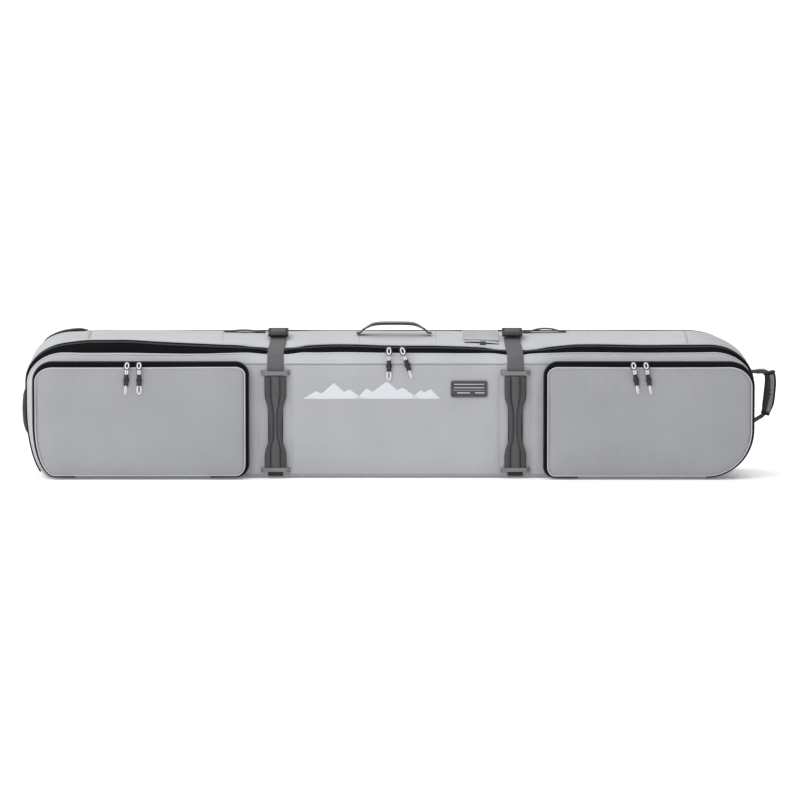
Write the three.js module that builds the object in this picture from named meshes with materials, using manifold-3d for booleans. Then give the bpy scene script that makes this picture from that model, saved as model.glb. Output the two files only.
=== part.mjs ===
// A long wheeled snowboard bag standing on its lower long edge, in millimetres.
// +X points to the tow handle and -X to the wheels, -Y is the front with the two gear pockets, +Z is up.
// The origin is the middle of the flat face that the bag stands on.

import * as THREE from "three";
import { mergeVertices } from "three/addons/utils/BufferGeometryUtils.js";
import Module from "manifold-3d";

const wasm = await Module();
wasm.setup();

const GAP = 0.3; // between touching pieces
const WALL = 6; // padded fabric wall of the shell
const POCKET_WALL = 5;
const WEBBING = 2.5; // thickness of a webbing strap
const CORNER_STEPS = 6; // facets in each rounded corner

const ZIP_Y = -78; // where the main zip parts the lid from the body
const FRONT_Y = -100; // outer face of the front panel
const BACK_Y = 100; // outer face of the back panel
const PANEL = 6.5; // thickness of the front and back panels
const END_SEAM = 700; // distance from the middle to the seams of the end gussets

const POCKET_RIM_Y = -122; // where a pocket's flap meets its gusset
const POCKET_FACE_Y = -137;

const STRAP_WIDTH = 38;
const STRAP_TOP_Z = 256; // where the free upper strap starts, above its keeper
const GRIP_THICKNESS = 9;
const UPPER_KEEPER_Z = 245;
const LOWER_KEEPER_Z = 20;
const BUCKLE_Y = -6;

const WHEEL = { x: -775, y: 64, radius: 44, width: 34, wellRadius: 47, wellWidth: 38, axle: 5 };
const WHEEL_BASE_FRONT = 8;
const WHEEL_BASE_CORNER = 46;

const X = new THREE.Vector3(1, 0, 0);
const Y = new THREE.Vector3(0, 1, 0);
const Z = new THREE.Vector3(0, 0, 1);

const LOOK = {
  fabric: { color: "#a7a8ab", roughness: 0.85, metalness: 0 },
  topFabric: { color: "#aeb0b3", roughness: 0.85, metalness: 0 },
  endFabric: { color: "#aaacaf", roughness: 0.88, metalness: 0 },
  webbing: { color: "#707072", roughness: 0.8, metalness: 0 },
  padding: { color: "#545353", roughness: 0.8, metalness: 0 },
  zip: { color: "#1c1d1e", roughness: 0.6, metalness: 0 },
  metal: { color: "#26272a", roughness: 0.35, metalness: 0.6 },
  cord: { color: "#e9e9e7", roughness: 0.7, metalness: 0 },
  plastic: { color: "#1a1a1b", roughness: 0.45, metalness: 0 },
  rubber: { color: "#222223", roughness: 0.75, metalness: 0 },
  steel: { color: "#8d9094", roughness: 0.3, metalness: 1 },
  patch: { color: "#5a5a5c", roughness: 0.8, metalness: 0 },
  window: { color: "#b9bbbe", roughness: 0.4, metalness: 0 },
};

const part = new THREE.Group();

// ---- solids ----

function solidOf(geometry) {
  geometry.deleteAttribute("normal");
  geometry.deleteAttribute("uv");
  const merged = mergeVertices(geometry, 1e-4);
  return new wasm.Manifold(new wasm.Mesh({
    numProp: 3,
    vertProperties: new Float32Array(merged.attributes.position.array),
    triVerts: new Uint32Array(merged.index.array),
  }));
}

function addPiece(name, solid, look, { position = [0, 0, 0], tilt = 0 } = {}) {
  const { vertProperties, triVerts } = solid.getMesh();
  const geometry = new THREE.BufferGeometry();
  geometry.setAttribute("position", new THREE.BufferAttribute(vertProperties, 3));
  geometry.setIndex(new THREE.BufferAttribute(triVerts, 1));
  geometry.computeVertexNormals();
  const mesh = new THREE.Mesh(geometry, new THREE.MeshStandardMaterial(look));
  mesh.name = name;
  mesh.position.set(...position);
  mesh.rotation.x = tilt;
  part.add(mesh);
}

function block([x0, x1], [y0, y1], [z0, z1]) {
  const geometry = new THREE.BoxGeometry(x1 - x0, y1 - y0, z1 - z0);
  return solidOf(geometry.translate((x0 + x1) / 2, (y0 + y1) / 2, (z0 + z1) / 2));
}

// A shape drawn on the plane of the directions u and v, given thickness about the centre point.
function prism(shape, u, v, thickness, centre = [0, 0, 0]) {
  const options = { depth: thickness, bevelEnabled: false, curveSegments: 6 };
  const geometry = new THREE.ExtrudeGeometry(shape, options);
  geometry.translate(0, 0, -thickness / 2);
  const w = new THREE.Vector3().crossVectors(u, v);
  geometry.applyMatrix4(new THREE.Matrix4().makeBasis(u, v, w).setPosition(...centre));
  return solidOf(geometry);
}

function upright(radius, z0, z1, [x, y], sides = 24) {
  const geometry = new THREE.CylinderGeometry(radius, radius, z1 - z0, sides);
  return solidOf(geometry.rotateX(Math.PI / 2).translate(x, y, (z0 + z1) / 2));
}

function roundedRectangle(x0, x1, y0, y1, r) {
  const shape = new THREE.Shape();
  shape.absarc(x1 - r, y0 + r, r, -Math.PI / 2, 0);
  shape.absarc(x1 - r, y1 - r, r, 0, Math.PI / 2);
  shape.absarc(x0 + r, y1 - r, r, Math.PI / 2, Math.PI);
  shape.absarc(x0 + r, y0 + r, r, Math.PI, Math.PI * 1.5);
  return shape;
}

// The polyline moved sideways to its left by a distance, with mitred corners.
function offsetPath(path, distance) {
  const normals = path.slice(1).map((point, i) => {
    const along = new THREE.Vector2(point[0] - path[i][0], point[1] - path[i][1]).normalize();
    return new THREE.Vector2(-along.y, along.x);
  });
  return path.map((point, i) => {
    const before = normals[Math.max(i - 1, 0)];
    const after = normals[Math.min(i, normals.length - 1)];
    const mitre = before.clone().add(after).normalize();
    mitre.multiplyScalar(distance / mitre.dot(before));
    return new THREE.Vector2(point[0] + mitre.x, point[1] + mitre.y);
  });
}

// A strip that follows a path at a given lift from it.
function bandShape(path, lift, thickness) {
  return new THREE.Shape([...offsetPath(path, lift), ...offsetPath(path, lift + thickness).reverse()]);
}

// ---- lofted fabric shells ----

// An outline in X and Z; corner radii [along x, along z] run top right, top left, bottom left, bottom right.
function section(y, [left, right], [bottom, top], corners) {
  return { y, left, right, bottom, top, corners };
}

const SHELL = [
  section(FRONT_Y, [-834, 848], [6, 268], [[92, 72], [90, 62], [50, 150], [112, 100]]),
  section(-90, [-843, 851], [2, 295], [[98, 84], [100, 75], [52, 168], [118, 108]]),
  section(ZIP_Y, [-848, 852], [0, 306], [[102, 90], [105, 80], [53, 175], [120, 110]]),
  section(-40, [-846, 850], [0, 318], [[108, 92], [96, 76], [54, 150], [119, 110]]),
  section(20, [-837, 845], [0, 327], [[119, 95], [84, 64], [50, 80], [117, 110]]),
  section(92, [-820, 835], [0, 329], [[130, 98], [88, 46], [45, 50], [115, 110]]),
  section(BACK_Y, [-813, 828], [6, 323], [[123, 92], [80, 40], [39, 44], [108, 104]]),
];

const mix = THREE.MathUtils.lerp;

function mixSections(a, b, t) {
  const corners = a.corners.map((radii, i) => {
    return radii.map((radius, j) => mix(radius, b.corners[i][j], t));
  });
  const sides = [mix(a.left, b.left, t), mix(a.right, b.right, t)];
  return section(mix(a.y, b.y, t), sides, [mix(a.bottom, b.bottom, t), mix(a.top, b.top, t)], corners);
}

function shellAt(y) {
  const behind = SHELL.filter((station) => station.y <= y).length;
  const i = THREE.MathUtils.clamp(behind, 1, SHELL.length - 1);
  const [a, b] = [SHELL[i - 1], SHELL[i]];
  return mixSections(a, b, (y - a.y) / (b.y - a.y));
}

function topAt(y) {
  return shellAt(y).top;
}

function outlinePoints({ left, right, bottom, top, corners }, inset) {
  const centres = [[right, top, 1, 1], [left, top, -1, 1], [left, bottom, -1, -1], [right, bottom, 1, -1]];
  return centres.flatMap(([x, z, sideX, sideZ], corner) => {
    const [rx, rz] = corners[corner];
    return Array.from({ length: CORNER_STEPS + 1 }, (_, step) => {
      const angle = (corner + step / CORNER_STEPS) * Math.PI / 2;
      const px = x - sideX * rx + (rx - inset) * Math.cos(angle);
      const pz = z - sideZ * rz + (rz - inset) * Math.sin(angle);
      return [px, pz];
    });
  });
}

// A closed solid through outlines listed from front to back, each with its own inset.
function loft(rings) {
  const outlines = rings.map(({ ring, inset }) => outlinePoints(ring, inset));
  const count = outlines[0].length;
  const positions = [];
  const index = [];
  outlines.forEach((points, i) => points.forEach(([x, z]) => positions.push(x, rings[i].ring.y, z)));
  for (let i = 0; i + 1 < rings.length; i += 1) {
    for (let j = 0; j < count; j += 1) {
      const a = i * count + j;
      const d = i * count + (j + 1) % count;
      index.push(a, a + count, d + count, a, d + count, d);
    }
  }
  const last = (rings.length - 1) * count;
  for (let j = 1; j + 1 < count; j += 1) {
    index.push(0, j, j + 1, last, last + j + 1, last + j);
  }
  const geometry = new THREE.BufferGeometry();
  geometry.setAttribute("position", new THREE.Float32BufferAttribute(positions, 3));
  geometry.setIndex(index);
  return solidOf(geometry);
}

// The bag's outer form between two depths, drawn in by an inset or swollen by a negative one.
function shellSolid(y0, y1, inset = 0) {
  const between = SHELL.filter((station) => station.y > y0 + 0.01 && station.y < y1 - 0.01);
  const rings = [shellAt(y0), ...between, shellAt(y1)];
  return loft(rings.map((ring) => ({ ring, inset })));
}

function shellRing(y0, y1, wall) {
  return shellSolid(y0, y1).subtract(shellSolid(y0 - 1, y1 + 1, wall));
}

// A thin layer lying on the outside of the shell.
function shellSkin(y0, y1, thickness) {
  return shellSolid(y0, y1, -GAP - thickness).subtract(shellSolid(y0 - 1, y1 + 1, -GAP));
}

const EVERYWHERE = [-1000, 1000];

// ---- the body of the bag ----

function addBody() {
  const panelFront = BACK_Y - PANEL;
  const ring = shellRing(ZIP_Y + GAP / 2, panelFront - GAP, WALL);
  const middle = [-END_SEAM, END_SEAM];
  const seamHeight = 165;
  const base = block([-1000, -END_SEAM - GAP / 2], [WHEEL_BASE_FRONT - GAP, 200], EVERYWHERE);
  const panel = shellSolid(panelFront, BACK_Y).intersect(block([-END_SEAM, 1000], EVERYWHERE, EVERYWHERE));
  addPiece("back_panel", panel, LOOK.fabric);
  addPiece("top_gusset", ring.intersect(block(middle, EVERYWHERE, [seamHeight, 1000])), LOOK.topFabric);
  addPiece("bottom_gusset", ring.intersect(block(middle, EVERYWHERE, [-1000, seamHeight])), LOOK.fabric);
  const wheelEnd = ring.intersect(block([-1000, -END_SEAM - GAP], EVERYWHERE, EVERYWHERE)).subtract(base);
  addPiece("wheel_end_gusset", wheelEnd, LOOK.endFabric);
  const towEnd = ring.intersect(block([END_SEAM + GAP, 1000], EVERYWHERE, EVERYWHERE));
  addPiece("tow_end_gusset", towEnd, LOOK.endFabric);
  addBackPad(panelFront);
}

function addBackPad(panelFront) {
  const padThickness = 5;
  const margin = WALL + 8;
  const pad = shellSolid(panelFront - GAP - padThickness, panelFront - GAP, margin);
  const reach = block([-END_SEAM + 10, 1000], EVERYWHERE, EVERYWHERE);
  addPiece("back_pad", pad.intersect(reach), LOOK.padding);
}

function addLid() {
  const panelBack = FRONT_Y + PANEL;
  addPiece("front_panel", shellSolid(FRONT_Y, panelBack - GAP), LOOK.fabric);
  addPiece("lid_gusset", shellRing(panelBack, ZIP_Y - GAP / 2, WALL), LOOK.topFabric);
}

// The main zip runs over the top and down both rounded ends, and stops where the lid is sewn on below.
function addMainZip() {
  const tape = 13;
  const thickness = 1.5;
  const hinge = block([-795, 730], EVERYWHERE, [-1000, 80]);
  const floor = block(EVERYWHERE, EVERYWHERE, [-1000, 2]);
  const rear = shellSkin(ZIP_Y + GAP / 2, ZIP_Y + tape, thickness);
  const front = shellSkin(ZIP_Y - tape, ZIP_Y - GAP / 2, thickness);
  addPiece("rear_zip_tape", rear.subtract(hinge).subtract(floor), LOOK.zip);
  addPiece("front_zip_tape", front.subtract(hinge).subtract(floor), LOOK.zip);
}

// ---- gear pockets ----

const POCKET_HEIGHT = [4, 274];
const POCKETS = [
  { side: "left", reach: [-831, -328], corners: [[30, 30], [45, 45], [50, 120], [30, 30]] },
  { side: "right", reach: [362, 850], corners: [[58, 58], [32, 32], [24, 24], [110, 110]] },
];

function pocketLoft({ reach, corners }, wall, steps) {
  return loft(steps.map(([y, inset]) => {
    return { ring: section(y, reach, POCKET_HEIGHT, corners), inset: inset + wall };
  }));
}

function addPocket(pocket) {
  const gussetSteps = [[POCKET_RIM_Y, 0], [-110, 1], [FRONT_Y - GAP, 6]];
  const throughSteps = [[POCKET_RIM_Y - 1, 0], [-110, 1], [FRONT_Y + 1, 6]];
  const gusset = pocketLoft(pocket, 0, gussetSteps).subtract(pocketLoft(pocket, POCKET_WALL, throughSteps));
  addPiece(`${pocket.side}_pocket_gusset`, gusset, LOOK.fabric);

  const rim = POCKET_RIM_Y - GAP;
  const flapSteps = [[POCKET_FACE_Y, 12], [-134, 7], [-130, 3], [rim, 0]];
  const hollowSteps = [[POCKET_FACE_Y + POCKET_WALL, 7], [rim + 1, 0]];
  const flap = pocketLoft(pocket, 0, flapSteps).subtract(pocketLoft(pocket, POCKET_WALL, hollowSteps));
  addPiece(`${pocket.side}_pocket_flap`, flap, LOOK.fabric);
}

// ---- compression straps with their haul grips ----

const STRAPS = [
  { side: "left", x: -265 },
  { side: "right", x: 295 },
];

function gripOutline() {
  const [low, high, neck] = [26, 239, 133];
  const [end, waist] = [25, 15];
  const shape = new THREE.Shape();
  shape.moveTo(-end, low);
  shape.lineTo(end, low);
  shape.quadraticCurveTo(end - 2, 90, waist, neck);
  shape.quadraticCurveTo(end - 2, 176, end, high);
  shape.lineTo(-end, high);
  shape.quadraticCurveTo(-end + 2, 176, -waist, neck);
  shape.quadraticCurveTo(-end + 2, 90, -end, low);
  return shape;
}

// A short cross tape sewn down on both sides of the strap that runs under it.
function addKeeper(name, x, z) {
  const [halfLength, halfHeight] = [33, 5.5];
  const halfTunnel = STRAP_WIDTH / 2 + 1;
  const tunnelY = FRONT_Y - 2 * GAP - WEBBING;
  const outerY = tunnelY - WEBBING;
  const bar = block([-halfLength, halfLength], [outerY, FRONT_Y - GAP], [-halfHeight, halfHeight]);
  const tunnel = block([-halfTunnel, halfTunnel], [tunnelY, FRONT_Y], [-halfHeight - 1, halfHeight + 1]);
  addPiece(name, bar.subtract(tunnel), LOOK.webbing, { position: [x, 0, z] });
}

function addStrap({ side, x }) {
  const place = { position: [x, 0, 0] };
  const tailFoot = 7;
  const tail = bandShape([[FRONT_Y, tailFoot], [FRONT_Y, STRAP_TOP_Z - GAP]], GAP, WEBBING);
  addPiece(`${side}_strap_tail`, prism(tail, Y, Z, STRAP_WIDTH), LOOK.webbing, place);

  const endY = BUCKLE_Y - 24;
  const lift = 2.4; // clear of the zip tapes underneath
  const over = SHELL.filter((station) => station.y < endY).map((station) => [station.y, station.top]);
  const route = [[FRONT_Y, STRAP_TOP_Z], ...over, [endY, topAt(endY)]];
  const strap = prism(bandShape(route, lift, WEBBING), Y, Z, STRAP_WIDTH);
  addPiece(`${side}_strap`, strap, LOOK.webbing, place);

  const gripCentre = [0, FRONT_Y - 2 * GAP - WEBBING - GRIP_THICKNESS / 2, 0];
  const grip = prism(gripOutline(), X, Z, GRIP_THICKNESS, gripCentre);
  addPiece(`${side}_grip`, grip, LOOK.padding, place);
  addKeeper(`${side}_upper_keeper`, x, UPPER_KEEPER_Z);
  addKeeper(`${side}_lower_keeper`, x, LOWER_KEEPER_Z);

  const [halfLength, halfDepth, thickness] = [23.5, 21, 5];
  const plan = roundedRectangle(-halfLength, halfLength, -halfDepth, halfDepth, 3);
  const seat = { position: [x, BUCKLE_Y, topAt(BUCKLE_Y) + 8.3], tilt: 0.3 };
  addPiece(`${side}_buckle`, prism(plan, X, Y, thickness), LOOK.plastic, seat);

  const anchor = [14, 20, 58].map((y) => [y, topAt(y)]);
  const tab = prism(bandShape(anchor, GAP, WEBBING), Y, Z, STRAP_WIDTH);
  addPiece(`${side}_anchor_tab`, tab, LOOK.webbing, place);
}

// ---- zip sliders and their cord pulls ----

// Each puller: where its slider sits on the zip, and the depth at which its pull hangs.
const MAIN_ZIP_SEAT = { y: -80, z: 309, tilt: 0.52, hangY: FRONT_Y - 6 };
const POCKET_ZIP_SEAT = { y: -129.5, z: 275, tilt: 0.6, hangY: POCKET_FACE_Y - 6 };
const PULLERS = [
  { name: "main_left", x: 0, seat: MAIN_ZIP_SEAT },
  { name: "main_right", x: 32, seat: MAIN_ZIP_SEAT },
  { name: "left_pocket_left", x: -609, seat: POCKET_ZIP_SEAT },
  { name: "left_pocket_right", x: -581, seat: POCKET_ZIP_SEAT },
  { name: "right_pocket_left", x: 569, seat: POCKET_ZIP_SEAT },
  { name: "right_pocket_right", x: 598, seat: POCKET_ZIP_SEAT },
];

// A flat cord leaves the slider and hangs down to a long knot with a small loop below it.
function pullSolid({ y, z, hangY }) {
  const [cordWidth, cordThickness] = [8, 3];
  const [knotLength, knotTopRadius, knotFootRadius, knotFlatness] = [26, 6, 7, 0.64];
  const [loopLength, halfLoop] = [18, 6];
  const overlap = 4;

  const start = [y - 8, z + 3];
  const bend = [hangY, start[1] - 11];
  const knotTop = bend[1] - 14;
  const route = [start, bend, [hangY, knotTop - overlap]];
  const cord = prism(bandShape(route, -cordThickness / 2, cordThickness), Y, Z, cordWidth);

  const knot = new THREE.CylinderGeometry(knotTopRadius, knotFootRadius, knotLength, 8);
  knot.rotateX(Math.PI / 2).scale(1, knotFlatness, 1).translate(0, hangY, knotTop - knotLength / 2);
  const end = knotTop - knotLength;
  const depth = [hangY - cordThickness / 2, hangY + cordThickness / 2];
  const loop = block([-halfLoop, halfLoop], depth, [end - loopLength, end + overlap]);
  return cord.add(solidOf(knot)).add(loop);
}

function addPuller({ name, x, seat }) {
  const thickness = 4;
  const slider = prism(roundedRectangle(-6, 6, -5, 5, 2), X, Y, thickness);
  const place = { position: [x, seat.y, seat.z + thickness / 2], tilt: seat.tilt };
  addPiece(`${name}_slider`, slider, LOOK.metal, place);
  addPiece(`${name}_pull`, pullSolid(seat), LOOK.cord, { position: [x, 0, 0] });
}

// ---- wheel base, wheels and skid rails ----

const WHEELS = [
  { side: "lower", z: 60 },
  { side: "upper", z: 268 },
];

// The base seen from above: its outer corner is rounded round the wheels.
function wheelBasePlan(wall) {
  const radius = WHEEL_BASE_CORNER;
  const [left, right] = [-850, -END_SEAM - GAP + wall];
  const [front, back] = [WHEEL_BASE_FRONT - wall, BACK_Y - wall];
  const [cornerX, cornerY] = [-822 + radius, BACK_Y - radius];
  const shape = new THREE.Shape();
  shape.moveTo(left, front);
  shape.lineTo(right, front);
  shape.lineTo(right, back);
  shape.absarc(cornerX, cornerY, radius - wall, Math.PI / 2, Math.PI);
  shape.lineTo(left, cornerY - 16);
  return prism(shape, X, Y, 400, [0, 0, 165]);
}

function addWheelBase() {
  const wall = WALL + 2;
  const outer = shellSolid(WHEEL_BASE_FRONT, BACK_Y).intersect(wheelBasePlan(0));
  const hollow = shellSolid(WHEEL_BASE_FRONT - 1, BACK_Y - wall, wall).intersect(wheelBasePlan(wall));
  let base = outer.subtract(hollow);
  const centre = [WHEEL.x, WHEEL.y];
  const halfWell = WHEEL.wellWidth / 2;
  const halfHousing = halfWell + 5;
  WHEELS.forEach(({ z }) => {
    const housing = block([-840, -718], [WHEEL_BASE_FRONT, BACK_Y], [z - halfHousing, z + halfHousing]);
    const well = upright(WHEEL.wellRadius, z - halfWell, z + halfWell, centre, 32);
    const bore = upright(WHEEL.axle + GAP, z - halfHousing - 1, z + halfHousing + 1, centre, 16);
    base = base.add(housing.intersect(outer)).subtract(well).subtract(bore);
  });
  addPiece("wheel_base", base, LOOK.plastic);
}

function latheRing(profile) {
  const points = [...profile, profile[0]].map(([r, z]) => new THREE.Vector2(r, z));
  return solidOf(new THREE.LatheGeometry(points, 24).rotateX(Math.PI / 2));
}

function addWheel({ side, z }) {
  const half = WHEEL.width / 2;
  const bore = WHEEL.axle + GAP;
  const rim = 29;
  const place = { position: [WHEEL.x, WHEEL.y, z] };
  const hub = latheRing([
    [bore, -half], [12, -half], [14, -9], [rim, -9],
    [rim, 9], [14, 9], [12, half], [bore, half],
  ]);
  const inner = rim + GAP;
  const tread = WHEEL.radius;
  const tyre = latheRing([
    [inner, -13], [tread - 5, -half], [tread - 1, -half + 4], [tread, 0],
    [tread - 1, half - 4], [tread - 5, half], [inner, 13],
  ]);
  const halfAxle = WHEEL.wellWidth / 2 + 4;
  const axle = upright(WHEEL.axle, -halfAxle, halfAxle, [0, 0], 16);
  addPiece(`${side}_wheel_hub`, hub, LOOK.plastic, place);
  addPiece(`${side}_wheel_tyre`, tyre, LOOK.rubber, place);
  addPiece(`${side}_axle`, axle, LOOK.steel, place);
}

function addSkidRail({ side, z }) {
  const [left, right, foot, crown] = [-690, 640, BACK_Y + GAP, BACK_Y + 7];
  const [chamfer, width] = [18, 20];
  const shape = new THREE.Shape();
  shape.moveTo(left, foot);
  shape.lineTo(right, foot);
  shape.lineTo(right - chamfer, crown);
  shape.lineTo(left + chamfer, crown);
  addPiece(`${side}_skid_rail`, prism(shape, X, Y, width, [0, 0, z]), LOOK.plastic);
}

// ---- carry handles and loops ----

const HANDLE_WIDTH = 25;

// A webbing arch on two anchors, narrowed towards them, with its anchor line at height 0.
function handleSolid({ span, flat, rise, width }, u, v, origin) {
  const half = span / 2;
  const foot = new THREE.Vector2(-half, -1);
  const bend = new THREE.Vector2(-half * 0.93, rise);
  const leg = new THREE.QuadraticBezierCurve(foot, bend, new THREE.Vector2(-flat / 2, rise)).getPoints(8);
  const route = [...leg.map(({ x, y }) => [x, y]), ...leg.reverse().map(({ x, y }) => [-x, y])];
  const arch = prism(bandShape(route, -2.5, 5), u, v, width, origin);
  const w = new THREE.Vector3().crossVectors(v, u);
  const [neck, edge, shoulder] = [4.5, width / 2, Math.min(rise * 0.8, 18)];
  const taper = new THREE.Shape([
    new THREE.Vector2(-neck, -8), new THREE.Vector2(neck, -8), new THREE.Vector2(edge, shoulder),
    new THREE.Vector2(edge, rise + 9), new THREE.Vector2(-edge, rise + 9), new THREE.Vector2(-edge, shoulder),
  ]);
  return arch.intersect(prism(taper, w, v, span + 60, origin));
}

function addTopHandle() {
  const arch = { span: 158, flat: 70, rise: 21, width: HANDLE_WIDTH };
  addPiece("top_handle", handleSolid(arch, X, Z, [12, 5, 332.5]), LOOK.webbing);
}

function addTowHandle() {
  const arch = { span: 122, flat: 92, rise: 41, width: HANDLE_WIDTH };
  const [baseX, y, z] = [854, -5, 178];
  addPiece("tow_handle_webbing", handleSolid(arch, Z, X, [baseX, y, z]), LOOK.webbing);

  const gripX = baseX + arch.rise;
  const [gripLength, slotHalf] = [88, HANDLE_WIDTH / 2 + 0.5];
  const sleeve = prism(roundedRectangle(-14, 14, -18, 18, 8), X, Y, gripLength, [gripX, y, z]);
  const slot = block([gripX - 3, gripX + 3], [y - slotHalf, y + slotHalf], [z - gripLength, z + gripLength]);
  addPiece("tow_handle_grip", sleeve.subtract(slot), LOOK.padding);
}

function addEndHandle() {
  const arch = { span: 110, flat: 70, rise: 8, width: HANDLE_WIDTH };
  addPiece("end_handle", handleSolid(arch, Z, X.clone().negate(), [-850.5, -25, 150]), LOOK.webbing);
}

// A lashing loop along the top: sewn down at both ends and lifted in the middle.
function addTopLoop(name, [x0, x1], rise) {
  const [sewn, lifted, width, y] = [14, 30, 22, 60];
  const base = topAt(72);
  const crown = base + rise;
  const route = [
    [x1, base], [x1 - sewn, base], [x1 - lifted, crown],
    [x0 + lifted, crown], [x0 + sewn, base], [x0, base],
  ];
  const strip = bandShape(route, -GAP - WEBBING, WEBBING);
  addPiece(name, prism(strip, X, Z, width, [0, y, 0]), LOOK.webbing);
}

// ---- small trim ----

function addTrim() {
  const window = shellSkin(-30, 85, 1).intersect(block([174, 256], EVERYWHERE, [200, 1000]));
  addPiece("id_window", window, LOOK.window);
  const tab = shellSkin(-56, -38, 2).intersect(block([212, 227], EVERYWHERE, [200, 1000]));
  addPiece("id_tab", tab, LOOK.webbing);
  const thickness = 1.4;
  const patchPlan = roundedRectangle(144, 230, 190, 229, 5);
  const patch = prism(patchPlan, X, Z, thickness, [0, FRONT_Y - GAP - thickness / 2, 0]);
  addPiece("label_patch", patch, LOOK.patch);
}

addBody();
addLid();
addMainZip();
POCKETS.forEach(addPocket);
STRAPS.forEach(addStrap);
PULLERS.forEach(addPuller);
addWheelBase();
WHEELS.forEach(addWheel);
WHEELS.forEach(addSkidRail);
addTopHandle();
addTowHandle();
addEndHandle();
addTopLoop("left_top_loop", [-387, -294], 3);
addTopLoop("right_top_loop", [317, 416], 7);
addTrim();

export default part;
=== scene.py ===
import math

import bmesh
import bpy
import numpy as np
from mathutils import Matrix, Vector, noise


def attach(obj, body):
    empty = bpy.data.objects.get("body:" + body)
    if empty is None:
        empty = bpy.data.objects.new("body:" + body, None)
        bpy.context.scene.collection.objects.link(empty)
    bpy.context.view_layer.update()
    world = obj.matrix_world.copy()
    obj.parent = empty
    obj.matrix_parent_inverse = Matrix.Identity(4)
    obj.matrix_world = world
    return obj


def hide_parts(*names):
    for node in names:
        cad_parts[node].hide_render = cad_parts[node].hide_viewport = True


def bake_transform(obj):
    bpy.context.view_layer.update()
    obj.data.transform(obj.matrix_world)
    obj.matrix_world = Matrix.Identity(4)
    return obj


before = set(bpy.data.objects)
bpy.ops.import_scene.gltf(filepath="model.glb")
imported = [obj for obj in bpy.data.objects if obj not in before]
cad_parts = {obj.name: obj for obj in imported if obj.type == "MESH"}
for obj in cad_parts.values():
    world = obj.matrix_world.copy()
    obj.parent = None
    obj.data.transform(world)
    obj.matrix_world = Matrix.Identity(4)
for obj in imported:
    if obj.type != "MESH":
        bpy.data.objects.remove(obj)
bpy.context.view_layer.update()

MM = 0.001
UP = np.array([0.0, 0.0, 1.0])
FRONT = np.array([0.0, -1.0, 0.0])

# Driving sizes, the same as the frame's, in millimetres.
ZIP_Y = -78.0
FRONT_Y = -100.0
BACK_Y = 100.0
SEAM_X = 700.0
STRAP_X = {"left": -265.0, "right": 295.0}
STRAP_WIDTH = 38.0
# Sewn hinge along the bottom. It reaches a little further round the corners than the frame's,
# so that the zip's teeth clear each other when the lid opens.
HINGE_REACH = (-812.0, 765.0)
WHEEL_CENTRE = (-775.0, 64.0)
WHEEL_HEIGHTS = {"lower": 60.0, "upper": 268.0}

# y, left, right, bottom, top, then corner radii along x and z: top right, top left, bottom left, bottom right
SHELL_ROWS = [
    (-100, -834, 848, 6, 268, 92, 72, 90, 62, 50, 150, 112, 100),
    (-90, -843, 851, 2, 295, 98, 84, 100, 75, 52, 168, 118, 108),
    (-78, -848, 852, 0, 306, 102, 90, 105, 80, 53, 175, 120, 110),
    (-40, -846, 850, 0, 318, 108, 92, 96, 76, 54, 150, 119, 110),
    (20, -837, 845, 0, 327, 119, 95, 84, 64, 50, 80, 117, 110),
    (92, -820, 835, 0, 329, 130, 98, 88, 46, 45, 50, 115, 110),
    (100, -813, 828, 6, 323, 123, 92, 80, 40, 39, 44, 108, 104),
]

# ---- small maths ----


def ease(t):
    t = np.clip(t, 0.0, 1.0)
    return t * t * (3 - 2 * t)


def curve_through(rows):
    """A smooth curve through rows of (x, values...) that never overshoots between them."""
    table = np.array(rows, float)
    x, v = table[:, 0], table[:, 1:]
    h = np.diff(x)[:, None]
    d = np.diff(v, axis=0) / h
    m = np.zeros_like(v)
    m[0], m[-1] = d[0], d[-1]
    same = d[:-1] * d[1:] > 0
    m[1:-1] = np.where(same, 2 * d[:-1] * d[1:] / np.where(same, d[:-1] + d[1:], 1), 0)

    def at(q):
        q = np.clip(np.asarray(q, float), x[0], x[-1])
        i = np.clip(np.searchsorted(x, q) - 1, 0, len(x) - 2)
        t = ((q - x[i]) / h[i, 0])[..., None]
        a, b = v[i], v[i + 1]
        ma, mb = m[i] * h[i], m[i + 1] * h[i]
        out = (a * (1 + 2 * t) + ma * t) * (1 - t) ** 2 + (b * (3 - 2 * t) + mb * (t - 1)) * t * t
        return out if v.shape[1] > 1 else out[..., 0]

    return at


def unit(v):
    return v / np.maximum(np.linalg.norm(v, axis=-1, keepdims=True), 1e-12)


def bumps(points, scale, seed=0.0):
    """Smooth noise from -1 to 1 at each point, with features about scale millimetres across."""
    flat = np.asarray(points, float).reshape(-1, 3) / scale + seed
    out = np.array([noise.noise(Vector(p)) for p in flat])
    return out.reshape(np.asarray(points).shape[:-1])


# ---- meshes ----


def grid_quads(rows, cols, wrap=False, start=0):
    across = cols if wrap else cols - 1
    quads = []
    for r in range(rows - 1):
        for c in range(across):
            a = start + r * cols + c
            b = start + r * cols + (c + 1) % cols
            quads.append((a, b, b + cols, a + cols))
    return quads


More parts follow.
